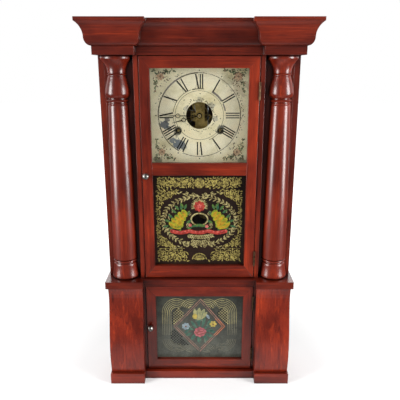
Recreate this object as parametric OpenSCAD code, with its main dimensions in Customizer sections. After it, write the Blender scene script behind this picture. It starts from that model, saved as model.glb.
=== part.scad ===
// Column shelf clock: a weight-driven, eight-day striking clock in a mahogany case.
// The clock stands on +Z, its front faces -Y, and the origin is under the middle of its box.

/* [Case] */
// Width of the case between the outer faces of its side boards
case_w = 422; // [412:1:440]
// Depth of the case box, from its face boards to the back
case_d = 78; // [74:1:96]
// Height of the whole clock
total_h = 826; // [820:1:850]
// Thickness of the side, top and bottom boards
board_t = 12; // [10:0.5:13]
// Thickness of the back board
back_t = 7; // [5:0.5:8]
// Thickness of the face boards behind the columns
face_t = 9; // [8:0.5:10]
// How far the jambs stand in front of the face boards
jamb_proud = 16; // [14:0.5:16]
// Width of each upper jamb
jamb_w = 10; // [8:0.5:11]

/* [Cornice] */
// Height of the plain frieze over the columns
frieze_h = 17; // [14:0.5:18]
// Height of the crown moulding
crown_h = 51.5; // [45:0.5:56]
// How far the frieze blocks stand in front of the face boards
frieze_proud = 42; // [40:0.5:46]
// How far the frieze ends stand out beyond the case sides
frieze_over = 3; // [1:0.5:5]
// How far the middle of the cornice steps back between the ends
step_back = 22; // [18:0.5:24]
// How far the crown flares out beyond the frieze
crown_flare = 26; // [20:0.5:30]
// Height of the square edge on top of the crown
crown_edge = 7; // [4:0.5:9]
// Distance from the centre line to the inner end of each frieze block
end_block_x = 130; // [128.5:0.5:132]
// Thickness of the crown moulding behind its face
crown_t = 24; // [20:1:28]

/* [Columns] */
// Distance from the centre line to the middle of each column
column_x = 173; // [170:0.5:174]
// Radius of the shaft at its foot
shaft_r = 28; // [26:0.5:29]
// Radius of the shaft under the capital
neck_r = 21.5; // [20:0.5:23]
// Radius of the flared foot
bell_r = 32; // [30:0.5:33]
// Radius of the rim of the capital
rim_r = 33; // [30:0.5:34]
// Height of the foot below the shaft
foot_h = 48; // [42:1:54]
// Height of the capital above the shaft
capital_h = 101; // [92:1:110]

/* [Base] */
// Height of the ledge that the columns stand on
ledge_z = 244; // [240:1:248]
// Thickness of the ledge
ledge_h = 17; // [14:0.5:20]
// How far the ledge ends stand in front of the face boards
ledge_proud = 42; // [40:0.5:46]
// How far the ledge ends stand out beyond the case sides
ledge_over = 5; // [2:0.5:7]
// How far the middle of the ledge stands in front of the face boards
ledge_mid_proud = 28; // [26:0.5:32]
// Height of the plinth blocks
plinth_h = 27; // [24:0.5:30]
// How far the plinth blocks stand in front of the face boards
plinth_proud = 56; // [54:0.5:60]
// Height of the rail between the plinth blocks
base_rail_h = 20; // [16:0.5:21]
// How far that rail stands in front of the face boards
base_rail_proud = 36; // [32:0.5:40]
// Depth of the hollow in the upper part of a pilaster
ogee_low = 33; // [30:0.5:36]
// Depth of the swell in the lower part of a pilaster
ogee_high = 55; // [48:0.5:55]
// Distance from the centre line to the inner face of each pilaster
pilaster_x = 132; // [131.5:0.5:134]

/* [Doors] */
// Half the width of both doors
door_x = 125; // [122:0.5:125.5]
// Width of the door stiles
stile_w = 22; // [20:0.5:25]
// Thickness of the doors
door_t = 17; // [15:0.5:18]
// Height of the top rail of the upper door
top_rail_h = 24; // [20:0.5:28]
// Height of the rail between dial and tablet
mid_rail_h = 28; // [24:0.5:32]
// Height of the bottom rail of the upper door
bottom_rail_h = 29; // [24:0.5:34]
// Height of the rails of the lower door
low_rail_h = 25; // [22:0.5:28]
// Clear height of the dial opening
dial_open_h = 198; // [194:0.5:204]
// Gap round a closed door
door_gap = 1.5; // [1.2:0.1:1.8]
// Depth of the glass behind the front of the door
glass_set = 10; // [8:0.5:11]
// Thickness of the glass
glass_t = 2; // [1.5:0.1:2.5]
// How far the glass reaches into its rebate
rebate = 5; // [4:0.5:7]
// Radius of a door knob
knob_r = 7; // [6:0.5:8]
// Radius of a hinge knuckle
knuckle_r = 2.2; // [2:0.1:2.4]
// Length of a hinge
hinge_l = 36; // [30:1:42]

/* [Dial] */
// Half the width and half the height of the dial plate
dial_half = 106; // [104:0.5:108]
// Thickness of the dial plate
dial_t = 1.5; // [1:0.1:2]
// Distance from the frieze down to the centre of the dial
dial_drop = 124.5; // [123:0.5:126]
// Radius of the hole in the middle of the dial
dial_hole_r = 29; // [26:0.5:30]
// Radius of the winding holes
winding_hole_r = 5.5; // [5:0.1:6.5]
// Distance from the dial centre to each winding arbor, sideways
winding_x = 46; // [45.5:0.1:47]
// Distance from the dial centre down to the winding arbors
winding_drop = 33; // [32.5:0.1:34]
// Length of the minute hand
minute_hand_l = 75; // [68:1:80]
// Length of the hour hand
hour_hand_l = 62; // [56:1:64]
// Outer radius of the open ring in each hand
hand_ring_r = 4.8; // [4:0.2:5.4]
// Where the minute hand's ring stands, as a share of its length
minute_ring_share = 0.62; // [0.56:0.01:0.66]
// Where the hour hand's ring stands, as a share of its length
hour_ring_share = 0.57; // [0.54:0.01:0.62]

/* [Movement] */
// Distance between the two plates
plate_gap = 31; // [30.8:0.1:32]
// Thickness of the plates
plate_t = 2; // [1.5:0.1:2.2]
// Half the distance between the lower pillars
pillar_x = 66; // [62:0.5:70]
// Half the distance between the upper pillars
upper_pillar_x = 58; // [56:0.5:64]
// Distance from the dial centre down to the lower pillars
pillar_drop = 64; // [60:0.5:68]
// Distance from the dial centre up to the upper pillars
pillar_rise = 60; // [58:0.5:66]
// Width of the straps of the plates
strap_w = 13; // [11:0.5:15]
// Radius of the arbors
arbor_r = 1.25; // [1:0.05:1.5]
// Thickness of the wheels
wheel_t = 1.6; // [1.2:0.1:2]
// Radius of the cord drums
drum_r = 17; // [15:0.5:17]
// Length of the cord drums
drum_l = 12; // [10:0.5:12]
// Tooth size of the great wheels, as pitch diameter over teeth
great_module = 1; // [0.98:0.01:1.02]
// Tooth size of the second wheel
second_module = 0.86; // [0.84:0.01:0.88]
// Tooth size of the finer wheels
fine_module = 0.5; // [0.48:0.01:0.52]
// Radius of the tips of the escape wheel
escape_r = 14; // [12:0.5:14.5]
// Height of the verge arbor over the escape wheel
verge_rise = 19; // [18.5:0.1:20]
// Height of the pendulum's stud over the verge arbor
stud_rise = 16; // [14:0.5:20]
// Length of the crutch
crutch_l = 60; // [50:1:70]
// Running clearance between an arbor and its hole
run = 0.05; // [0.03:0.01:0.08]

/* [Pendulum and weights] */
// Distance from the suspension of the pendulum to the middle of its bob
pendulum_l = 285; // [270:1:300]
// Distance of the pendulum from the centre line
pendulum_x = 19; // [18:0.5:20]
// Radius of the bob
bob_r = 26; // [22:1:30]
// Thickness of the bob
bob_t = 8; // [6:0.5:9]
// Radius of the weights
weight_r = 23; // [18:0.5:23]
// Length of the weights
weight_l = 170; // [140:1:180]
// Radius of the weight cords
cord_r = 1; // [0.8:0.1:1.2]
// Radius of the top pulleys in the bottom of their groove
pulley_r = 11; // [10:0.5:12]
// Radius of the bell
bell_cup_r = 34; // [30:1:36]
// Height of the cup of the bell
bell_h = 24; // [20:1:26]
// Thickness of the bell
bell_t = 2.5; // [2:0.1:3]
// Distance of the bell from the centre line
bell_x = 40; // [36:1:44]
// Distance from the dial centre down to the bell
bell_drop = 133; // [128:1:140]
// Distance of the hammer's arbor from the centre line
hammer_x = 10; // [8:0.5:12]
// Distance from the dial centre down to the hammer's arbor
hammer_drop = 50; // [48:0.5:52]

/* [Hidden] */
$fn = 48;

// Wood colours
case_red = "#6e2a1e";
trim_red = "#7d3021";
dark_red = "#4a1d15";
pine = "#8a6a44";
brass = "#b08d3f";
steel = "#8a8d90";
iron = "#3b3c3e";

// Depths, measured back from the front of the face boards, and where they lie in Y
crown_proud = frieze_proud + crown_flare;
front_y = (crown_proud - case_d) / 2;
function at(depth) = front_y + depth;

// Heights of the case
crown_z = total_h - crown_h;
frieze_z = crown_z - frieze_h;
ledge_top = ledge_z + ledge_h;
half_w = case_w / 2;
crown_mid_proud = crown_proud - step_back;
frieze_mid_proud = frieze_proud - step_back;
inside_x = half_w - board_t;

// Doors
dial_z = frieze_z - dial_drop;
door_proud = jamb_proud + 1.5;
upper_door_z = ledge_top + door_gap;
upper_door_top = frieze_z - door_gap;
dial_open_top = upper_door_top - top_rail_h;
dial_open_z = dial_open_top - dial_open_h;
tablet_top = dial_open_z - mid_rail_h;
tablet_z = upper_door_z + bottom_rail_h;
low_door_proud = ledge_mid_proud - 2;
low_door_z = base_rail_h + door_gap;
low_door_top = ledge_z - door_gap;
open_x = door_x - stile_w;
jamb_x = door_x + door_gap;
hinge_x = door_x + door_gap / 2;
leaf_t = (door_gap - 0.5) / 2;
hinge_pin_r = knuckle_r / 2;
upper_hinge_proud = door_proud + knuckle_r + 0.3;
low_hinge_proud = low_door_proud + knuckle_r + 0.3;
upper_hinge_inset = 30;
upper_hinge_top_inset = 88;
low_hinge_inset = 24;
upper_hinge_zs = [upper_door_z + upper_hinge_inset, upper_door_top - upper_hinge_top_inset];
low_hinge_zs = [low_door_z + low_hinge_inset, low_door_top - low_hinge_inset - hinge_l];

// Layers of the movement, from the dial to the back board
dial_depth = 12;
motion_depth = dial_depth + dial_t + 1.5;
crutch_depth = 24.8;
rod_depth = crutch_depth - 3;
front_plate_depth = 26.5;
inner_depth = front_plate_depth + plate_t;
back_plate_depth = inner_depth + plate_gap;
back_depth = case_d - back_t;
// Room between the front plate and each layer of wheels behind it
front_wheel_room = 1.4;
drum_room = 5;
third_wheel_room = 12;
center_wheel_room = 18;
great_wheel_room = 27;
front_wheel_depth = inner_depth + front_wheel_room;
drum_depth = inner_depth + drum_room;
third_wheel_depth = inner_depth + third_wheel_room;
center_wheel_depth = inner_depth + center_wheel_room;
great_wheel_depth = inner_depth + great_wheel_room;
ratchet_depth = drum_depth + drum_l + 0.4;
pulley_depth = drum_depth + drum_l / 2;

// Teeth
great_teeth = 60;
second_teeth = 48;
center_teeth = 80;
third_teeth = 64;
escape_teeth = 42;
leaves = 8;
cannon_teeth = 12;
minute_wheel_teeth = 36;
minute_leaves = 10;
hour_teeth = 40;
pin_teeth = 56;
warning_teeth = 56;
pin_module = 0.6;
motion_distance = 12;
cannon_module = 2 * motion_distance / (cannon_teeth + minute_wheel_teeth);
hour_module = 2 * motion_distance / (minute_leaves + hour_teeth);

// Where two circles round a and b meet, on the left of the way from a to b
function meet(a, ra, b, rb) =
  let (d = norm(b - a), u = (b - a) / d, s = (ra * ra - rb * rb + d * d) / (2 * d))
  a + s * u + sqrt(ra * ra - s * s) * [-u.y, u.x];
function polar(a, r, angle) = a + r * [cos(angle), sin(angle)];
function way(a, b) = atan2(b.y - a.y, b.x - a.x);

// Arbor places in the plane of the dial
center_at = [0, dial_z];
time_great_at = [winding_x, dial_z - winding_drop];
strike_great_at = [-winding_x, dial_z - winding_drop];
great_reach = great_module * (great_teeth + leaves) / 2;
second_reach = second_module * (second_teeth + leaves) / 2;
third_reach = fine_module * (center_teeth + leaves) / 2;
escape_reach = fine_module * (third_teeth + leaves) / 2;
pin_reach = pin_module * (pin_teeth + leaves) / 2;
fly_reach = fine_module * (warning_teeth + leaves) / 2;
second_at = meet(time_great_at, great_reach, center_at, second_reach);
third_at = polar(center_at, third_reach, 118);
escape_at = polar(third_at, escape_reach, 58);
pin_at = polar(strike_great_at, great_reach, 98);
warning_at = polar(pin_at, pin_reach, 80);
fly_at = polar(warning_at, fly_reach, 62);
minute_at = polar(center_at, motion_distance, 200);
verge_at = [pendulum_x, escape_at.y + verge_rise];
hammer_at = [-hammer_x, dial_z - hammer_drop];
suspension_at = verge_at + [0, stud_rise];

// Turning a follower so that its gap meets the tooth of its driver
function mesh_turn(angle, turn, n_driver, n_follower) =
  angle + 180 - (180 - (angle - turn) * n_driver) / n_follower;
great_turn = 0;
second_pinion_turn = mesh_turn(way(time_great_at, second_at), great_turn, great_teeth, leaves);
second_turn = second_pinion_turn;
center_pinion_turn = mesh_turn(way(second_at, center_at), second_turn, second_teeth, leaves);
center_turn = center_pinion_turn;
third_pinion_turn = mesh_turn(way(center_at, third_at), center_turn, center_teeth, leaves);
third_turn = third_pinion_turn;
escape_pinion_turn = mesh_turn(way(third_at, escape_at), third_turn, third_teeth, leaves);
pin_pinion_turn = mesh_turn(way(strike_great_at, pin_at), great_turn, great_teeth, leaves);
pin_turn = pin_pinion_turn;
warning_pinion_turn = mesh_turn(way(pin_at, warning_at), pin_turn, pin_teeth, leaves);
warning_turn = warning_pinion_turn;
fly_pinion_turn = mesh_turn(way(warning_at, fly_at), warning_turn, warning_teeth, leaves);
// The hands stand at a quarter to nine, as the photograph shows them
minute_angle = 180;
hour_angle = 195;
cannon_turn = minute_angle;
minute_wheel_turn = mesh_turn(way(center_at, minute_at), cannon_turn, cannon_teeth, minute_wheel_teeth);
minute_pinion_turn = minute_wheel_turn;
hour_turn = mesh_turn(way(minute_at, center_at), minute_pinion_turn, minute_leaves, hour_teeth);

// Weights stand run down, just clear of the bottom board
seat_gap = 0.3;
weight_x = inside_x - weight_r - 5;
weight_z = base_rail_h + seat_gap;
weight_top = weight_z + weight_l;
pulley_run_r = pulley_r + cord_r + seat_gap;
drum_run_r = drum_r + cord_r + seat_gap;
pulley_drop = 22;
pulley_at = [weight_x - pulley_run_r, frieze_z - pulley_drop];
bell_at = [-bell_x, dial_z - bell_drop];
bell_room = 6;
bell_depth = back_depth - bell_room;

// A drawing in the plane of the dial, made a plate that starts at the given depth
module plate(depth, t) {
  translate([0, at(depth) + t, 0])
    rotate([90, 0, 0])
      linear_extrude(height = t)
        children();
}

// A round bar from one depth to another
module bar(place, depth, end_depth, r) {
  translate([place.x, at(end_depth), place.y])
    rotate([90, 0, 0])
      cylinder(r = r, h = end_depth - depth);
}

// A board between two corners, with its depth measured from the face boards
module board(x0, x1, depth0, depth1, z0, z1) {
  translate([x0, at(depth0), z0])
    cube([x1 - x0, depth1 - depth0, z1 - z0]);
}

module both_sides() {
  children();
  mirror([1, 0, 0])
    children();
}

// Case boards
module case_sides() {
  color(case_red)
    both_sides()
      board(inside_x, half_w, 0, case_d, 0, crown_z);
}

module back_board() {
  color(pine)
    board(-inside_x, inside_x, back_depth, case_d, 0, crown_z);
}

// The top board carries the wooden cheeks that hold the pulleys
pulley_half_w = 4;
cheek_clear = 0.5;
cheek_t = 6;
cheek_half_w = 14;
cheek_foot = 8;
pulley_pin_r = 2;
module top_board() {
  cheek_out = pulley_half_w + cheek_clear + cheek_t / 2;
  color(pine) {
    board(-inside_x, inside_x, face_t, back_depth, frieze_z, frieze_z + board_t);
    both_sides()
      for (side = [-1, 1])
        difference() {
          board(pulley_at.x - cheek_half_w, pulley_at.x + cheek_half_w,
            pulley_depth + side * cheek_out - cheek_t / 2,
            pulley_depth + side * cheek_out + cheek_t / 2, pulley_at.y - cheek_foot, frieze_z);
          bar(pulley_at, 0, case_d, pulley_pin_r + run);
        }
  }
}

module bottom_board() {
  color(pine)
    board(-inside_x, inside_x, face_t, back_depth, base_rail_h - board_t, base_rail_h);
}

// Face boards stand behind the columns and the pilasters
module face_boards() {
  color(case_red)
    both_sides()
      board(jamb_x + jamb_w, inside_x, 0, face_t, 0, crown_z);
}

// Jambs beside both doors, with a slot on the left for each latch
module door_jambs() {
  jamb_back = dial_depth + dial_t;
  color(trim_red)
    difference() {
      both_sides() {
        board(jamb_x, jamb_x + jamb_w, -jamb_proud, jamb_back, ledge_top, frieze_z);
        board(jamb_x, pilaster_x, -low_door_proud + 2, jamb_back, base_rail_h, ledge_z);
      }
      latch_slot(upper_knob_z, door_proud);
      latch_slot(lower_knob_z, low_door_proud);
    }
}

module latch_slot(z, proud) {
  board(-pilaster_x - 1, -jamb_x + 1, -proud + door_t - 0.3, -proud + door_t + 2.8,
    z - latch_l - 1, z + latch_half_w + 1);
}

// The crown is a swell below and a hollow above, under a square edge
swell_h = 0.36 * (crown_h - crown_edge);
swell_out = 0.46 * crown_flare;
hollow_h = crown_h - crown_edge - swell_h;
hollow_out = crown_flare - swell_out;
hollow_end = 62;
crown_steps = 10;
crown_curve = concat(
  [for (i = [0 : crown_steps]) let (a = 90 * i / crown_steps)
    [swell_out * sin(a), swell_h * (1 - cos(a))]],
  [for (i = [1 : crown_steps]) let (a = hollow_end * i / crown_steps)
    [swell_out + hollow_out * (1 - cos(a)) / (1 - cos(hollow_end)),
      swell_h + hollow_h * sin(a) / sin(hollow_end)]],
  [[crown_flare, crown_h]]);

// Crown seen from the side, as a bar along X whose face starts at the given depth
module crown_bar(proud, x0, x1) {
  translate([x0, 0, crown_z])
    rotate([90, 0, 90])
      linear_extrude(height = x1 - x0)
        polygon(concat(
          [[at(case_d), 0]],
          [[at(case_d), crown_h]],
          [for (i = [len(crown_curve) - 1 : -1 : 0])
            [at(-proud) - crown_curve[i].x, crown_curve[i].y]]));
}

// Crown seen from the front, over the right end block
module crown_end_outline() {
  outer = half_w + frieze_over;
  polygon(concat(
    [for (p = crown_curve) [outer + p.x, p.y]],
    [for (i = [len(crown_curve) - 1 : -1 : 0])
      [end_block_x - crown_curve[i].x, crown_curve[i].y]]));
}

module crown_end_bar() {
  translate([0, at(case_d), crown_z])
    rotate([90, 0, 0])
      linear_extrude(height = case_d + crown_proud)
        crown_end_outline();
}

module crown_hollow() {
  inner = half_w + frieze_over - crown_t;
  board(-inner, inner, -frieze_mid_proud + crown_t, case_d + 1, crown_z - 1, total_h + 1);
}

// Three lengths meet at the corners, with a hairline between them
hairline = 0.1;
module crown() {
  color(case_red)
    difference() {
      union() {
        both_sides()
          intersection() {
            crown_bar(frieze_proud, 0, half_w + crown_proud);
            crown_end_bar();
          }
        difference() {
          crown_bar(frieze_mid_proud, -end_block_x, end_block_x);
          both_sides()
            translate([-hairline, 0, 0])
              crown_end_bar();
        }
      }
      crown_hollow();
    }
}

// The frieze and the ledge have end blocks that return along the sides of the case
module stepped_band(mid_proud, end_proud, over, z0, z1) {
  both_sides() {
    board(end_block_x + hairline, half_w + over, -end_proud, 0, z0, z1);
    board(half_w, half_w + over, 0, case_d, z0, z1);
  }
  board(-end_block_x, end_block_x, -mid_proud, face_t, z0, z1);
}

module frieze() {
  color(trim_red)
    stepped_band(frieze_mid_proud, frieze_proud, frieze_over, frieze_z, crown_z);
}

// Half of a turned column, split down its length and laid on the face board
column_z = ledge_top;
column_h = frieze_z - ledge_top;
cap_z = column_h - capital_h;
function foot_at(r_share, z_share) = [bell_r * r_share, foot_h * z_share];
function cap_at(r_share, z_share) =
  [neck_r + (rim_r - neck_r) * r_share, cap_z + capital_h * z_share];
function bow(a, b, bulge, steps) =
  [for (i = [1 : steps]) let (t = i / steps) a + (b - a) * t + [bulge * sin(180 * t), 0]];
foot_profile = concat(
  [[0, 0], foot_at(0.83, 0)],
  bow(foot_at(0.83, 0), foot_at(0.99, 0.11), 1.4, 6),
  bow(foot_at(0.99, 0.11), foot_at(0.86, 0.68), -0.7, 7),
  bow(foot_at(0.86, 0.68), foot_at(0.76, 0.79), 1, 5),
  [foot_at(0.76, 0.82)],
  bow(foot_at(0.79, 0.825), foot_at(0.79, 0.945), 2.6, 7),
  [foot_at(0.77, 0.96), foot_at(0.77, 0.98), foot_at(0.86, 0.99)]);
capital_profile = concat(
  [cap_at(-0.09, 0.01)],
  bow(cap_at(-0.05, 0.015), cap_at(-0.05, 0.042), 0.6, 4),
  [cap_at(-0.15, 0.05), cap_at(-0.15, 0.063)],
  bow(cap_at(-0.09, 0.069), cap_at(-0.09, 0.119), 2.4, 7),
  [cap_at(-0.16, 0.127), cap_at(-0.16, 0.139)],
  bow(cap_at(-0.13, 0.139), cap_at(0.45, 0.248), 1.8, 7),
  bow(cap_at(0.45, 0.248), cap_at(-0.17, 0.58), 0.6, 10),
  [cap_at(-0.23, 0.588), cap_at(-0.23, 0.603)],
  bow(cap_at(-0.16, 0.608), cap_at(-0.16, 0.64), 1.2, 5),
  [cap_at(-0.23, 0.646), cap_at(-0.23, 0.655)],
  bow(cap_at(-0.17, 0.66), cap_at(0.91, 0.915), -2.6, 10),
  bow(cap_at(0.91, 0.925), cap_at(0.91, 0.985), 1, 5),
  [cap_at(0.82, 1), [0, column_h]]);
column_profile = concat(foot_profile, [[shaft_r, foot_h]],
  bow([shaft_r, foot_h], [neck_r, cap_z], 1, 10), capital_profile);

module column(x) {
  translate([x, at(0), column_z])
    intersection() {
      rotate_extrude($fn = 96)
        polygon(column_profile);
      translate([-2 * rim_r, -2 * rim_r, 0])
        cube([4 * rim_r, 2 * rim_r, column_h]);
    }
}

module columns() {
  color(trim_red) {
    column(-column_x);
    column(column_x);
  }
}

module ledge() {
  color(trim_red)
    stepped_band(ledge_mid_proud, ledge_proud, ledge_over, ledge_z, ledge_top);
}

// Pilasters are sawn to a double curve: a hollow above and a swell below
pilaster_steps = 24;
function ogee(t) = ogee_low + (ogee_high - ogee_low) * (1 - cos(180 * min(1, max(0, (t - 0.08) / 0.66)))) / 2
  - 6 * pow(max(0, (t - 0.74) / 0.26), 2)
  + 5 * pow(max(0, (0.14 - t) / 0.14), 2);
module pilasters() {
  pilaster_h = ledge_z - plinth_h;
  color(case_red)
    both_sides()
      translate([pilaster_x, 0, plinth_h])
        rotate([90, 0, 90])
          linear_extrude(height = half_w - pilaster_x)
            polygon(concat(
              [[at(0), 0], [at(0), pilaster_h]],
              [for (i = [0 : pilaster_steps]) let (t = i / pilaster_steps)
                [at(-ogee(t)), pilaster_h * (1 - t)]]));
}

module plinth_blocks() {
  color(trim_red)
    both_sides()
      board(pilaster_x, half_w + 2, -plinth_proud, 0, 0, plinth_h);
}

module base_rail() {
  color(trim_red)
    board(-pilaster_x, pilaster_x, -base_rail_proud, face_t, 0, base_rail_h);
}

// Dial and its cleats
module dial_plate() {
  color("#d9d2b0")
    plate(dial_depth, dial_t)
      difference() {
        translate([-dial_half, dial_z - dial_half])
          square([2 * dial_half, 2 * dial_half]);
        translate(center_at)
          circle(r = dial_hole_r);
        for (place = [time_great_at, strike_great_at])
          translate(place)
            circle(r = winding_hole_r);
      }
}

module dial_cleats() {
  color(pine)
    both_sides()
      board(dial_half - 8, jamb_x + jamb_w, dial_depth + dial_t, dial_depth + dial_t + 10,
        dial_z - dial_half, dial_z + dial_half);
}

// Plates of the movement: straps between the pillars and the pivots
pillar_places = [[-pillar_x, dial_z - pillar_drop], [pillar_x, dial_z - pillar_drop],
  [-upper_pillar_x, dial_z + pillar_rise], [upper_pillar_x, dial_z + pillar_rise]];
stem_x = 1.5;
boss_extra = 1;
module strap(a, b, w) {
  translate(a)
    rotate(way(a, b))
      translate([0, -w / 2])
        square([norm(b - a), w]);
}

module pivot_boss(place, r) {
  translate(place)
    circle(r = r);
}

arbor_places = [second_at, center_at, third_at, escape_at, pin_at, warning_at, fly_at,
  verge_at, hammer_at];
winding_places = [time_great_at, strike_great_at];
winding_arbor_r = 2.2;

module plate_outline() {
  base_left = pillar_places[0];
  base_right = pillar_places[1];
  top_left = pillar_places[2];
  top_right = pillar_places[3];
  foot = [stem_x, base_left.y];
  head = [stem_x, top_left.y];
  strap(base_left, base_right, strap_w);
  strap(top_left, top_right, strap_w);
  strap(foot, head, 1.6 * strap_w);
  strap(base_left, top_left, strap_w);
  strap(base_right, top_right, strap_w);
  strap([base_left.x, strike_great_at.y], [base_right.x, time_great_at.y], strap_w);
  strap(warning_at, [warning_at.x, top_left.y], strap_w - 3);
  for (place = pillar_places)
    pivot_boss(place, strap_w / 2 + boss_extra);
  for (place = arbor_places)
    pivot_boss(place, strap_w / 2 - boss_extra);
  strap(pin_at, [top_left.x - 4, pin_at.y], strap_w - 3);
  strap(fly_at, [fly_at.x, top_left.y], strap_w - 3);
}

module plate_holes() {
  for (place = arbor_places)
    pivot_boss(place, arbor_r + run);
  for (place = winding_places)
    pivot_boss(place, winding_arbor_r + run);
}

module front_plate() {
  color(brass)
    plate(front_plate_depth, plate_t)
      difference() {
        union() {
          plate_outline();
          strap(suspension_at - [0, 12], suspension_at, 9);
          pivot_boss(suspension_at, 4.5);
        }
        plate_holes();
        pivot_boss(minute_at, arbor_r + run);
      }
}

module back_plate() {
  color(brass)
    plate(back_plate_depth, plate_t)
      difference() {
        plate_outline();
        plate_holes();
      }
}

// The pendulum hangs from a split stud on the front plate
stud_r = 2.4;
stud_depth = rod_depth - 1.8;
ribbon_t = 0.3;
ribbon_w = 3;
module suspension_stud() {
  color(brass)
    difference() {
      bar(suspension_at, stud_depth, front_plate_depth, stud_r);
      board(suspension_at.x - 0.5, suspension_at.x + 0.5, stud_depth - 1, stud_depth + 4,
        suspension_at.y - 4, suspension_at.y + 1.9);
    }
}

// Pillars between the plates, and posts from the back plate to the back board
module plate_pillars() {
  color(brass)
    for (place = pillar_places) {
      bar(place, inner_depth, back_plate_depth, 3);
      bar(place, back_plate_depth + plate_t, back_depth, 4);
    }
}

// Wheel with crossed-out arms: teeth are straight-sided with narrow tips
function tooth_ring(n, m) =
  [for (i = [0 : n - 1]) for (k = [0 : 3])
    let (a = (i + [-0.25, -0.1, 0.1, 0.25][k]) * 360 / n,
      r = n * m / 2 + (k == 1 || k == 2 ? 0.75 : -1.1) * m)
    [r * cos(a), r * sin(a)]];

module wheel(place, n, m, turn, depth, arms = 4) {
  root = n * m / 2 - 1.1 * m;
  rim = root - 2.2;
  plate(depth, wheel_t)
    translate(place)
      rotate(turn)
        difference() {
          polygon(tooth_ring(n, m));
          difference() {
            circle(r = rim);
            circle(r = 3.4);
            for (i = [0 : arms - 1])
              rotate(i * 360 / arms + 20)
                translate([0, -1.1])
                  square([rim + 1, 2.2]);
          }
        }
}

module pinion(place, n, m, turn, depth, l) {
  plate(depth, l)
    translate(place)
      rotate(turn)
        polygon(tooth_ring(n, m));
}

module arbor(place) {
  bar(place, front_plate_depth - 0.6, back_plate_depth + plate_t + 0.8, arbor_r);
}

// A great wheel turns on the arbor of its drum, and a click on it holds the drum's ratchet
ratchet_r = 11;
ratchet_t = 2;
module great_wheel(place) {
  difference() {
    union() {
      wheel(place, great_teeth, great_module, great_turn, great_wheel_depth, 5);
      bar(place, ratchet_depth + ratchet_t + 0.4, great_wheel_depth + wheel_t, 4.6);
      bar(place + [ratchet_r + 1.5, 0], ratchet_depth, great_wheel_depth + wheel_t, 1);
    }
    bar(place, 0, case_d, winding_arbor_r + run);
  }
}

module drum(place) {
  union() {
    bar(place, front_plate_depth - 0.6, back_plate_depth + plate_t + 0.8, winding_arbor_r);
    bar(place, drum_depth, drum_depth + drum_l, drum_r);
    bar(place, drum_depth - 1, drum_depth, drum_r + 1.5);
    plate(drum_depth + drum_l, ratchet_depth + ratchet_t - drum_depth - drum_l)
      translate(place)
        polygon([for (i = [0 : 23]) for (k = [0 : 1])
          let (a = 15 * i + 2 * k, r = ratchet_r - (k == 0 ? 1.6 : 0)) [r * cos(a), r * sin(a)]]);
    translate([place.x - 2, at(dial_depth + 0.5), place.y - 2])
      cube([4, front_plate_depth - dial_depth - 0.5, 4]);
  }
}

module time_great_wheel() {
  color(brass)
    great_wheel(time_great_at);
}

module time_drum() {
  color(brass)
    drum(time_great_at);
}

module strike_great_wheel() {
  color(brass)
    great_wheel(strike_great_at);
}

module strike_drum() {
  color(brass)
    drum(strike_great_at);
}

module second_wheel() {
  color(brass)
    union() {
      arbor(second_at);
      wheel(second_at, second_teeth, second_module, second_turn, front_wheel_depth);
      pinion(second_at, leaves, great_module, second_pinion_turn, great_wheel_depth - 1, 3.6);
    }
}

module center_wheel() {
  color(brass)
    union() {
      bar(center_at, motion_depth, back_plate_depth + plate_t + 0.8, arbor_r);
      wheel(center_at, center_teeth, fine_module, center_turn, center_wheel_depth);
      pinion(center_at, leaves, second_module, center_pinion_turn, front_wheel_depth - 1, 3.6);
    }
}

module third_wheel() {
  color(brass)
    union() {
      arbor(third_at);
      wheel(third_at, third_teeth, fine_module, third_turn, third_wheel_depth);
      pinion(third_at, leaves, fine_module, third_pinion_turn, center_wheel_depth - 1, 3.6);
    }
}

// The escape wheel has pointed teeth that lean the way it turns
function escape_ring() =
  [for (i = [0 : escape_teeth - 1]) for (k = [0 : 2])
    let (a = (i + [0, 0.1, 0.6][k]) * 360 / escape_teeth, r = escape_r - [2.2, 0, 2.2][k])
    [r * cos(a), r * sin(a)]];

module escape_wheel() {
  color(brass)
    union() {
      arbor(escape_at);
      plate(front_wheel_depth, 1)
        translate(escape_at)
          difference() {
            polygon(escape_ring());
            difference() {
              circle(r = escape_r - 4);
              circle(r = 3);
              for (i = [0 : 3])
                rotate(i * 90)
                  translate([0, -0.9])
                    square([escape_r - 3, 1.8]);
            }
          }
      pinion(escape_at, leaves, fine_module, escape_pinion_turn, third_wheel_depth - 1, 3.6);
    }
}

module pin_wheel() {
  color(brass)
    union() {
      arbor(pin_at);
      wheel(pin_at, pin_teeth, pin_module, pin_turn, center_wheel_depth);
      for (i = [0 : 7])
        bar(polar(pin_at, 13.6, 45 * i), center_wheel_depth + wheel_t, center_wheel_depth + 5, 0.8);
      pinion(pin_at, leaves, great_module, pin_pinion_turn, great_wheel_depth - 1, 3.6);
    }
}

module warning_wheel() {
  color(brass)
    union() {
      arbor(warning_at);
      wheel(warning_at, warning_teeth, fine_module, warning_turn, third_wheel_depth);
      pinion(warning_at, leaves, pin_module, warning_pinion_turn, center_wheel_depth - 1, 3.6);
    }
}

module fly() {
  color(brass)
    union() {
      arbor(fly_at);
      pinion(fly_at, leaves, fine_module, fly_pinion_turn, third_wheel_depth - 1, 3.6);
      board(fly_at.x - 10, fly_at.x + 10, front_wheel_depth, third_wheel_depth - 2,
        fly_at.y - 0.6, fly_at.y + 0.6);
    }
}

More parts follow.
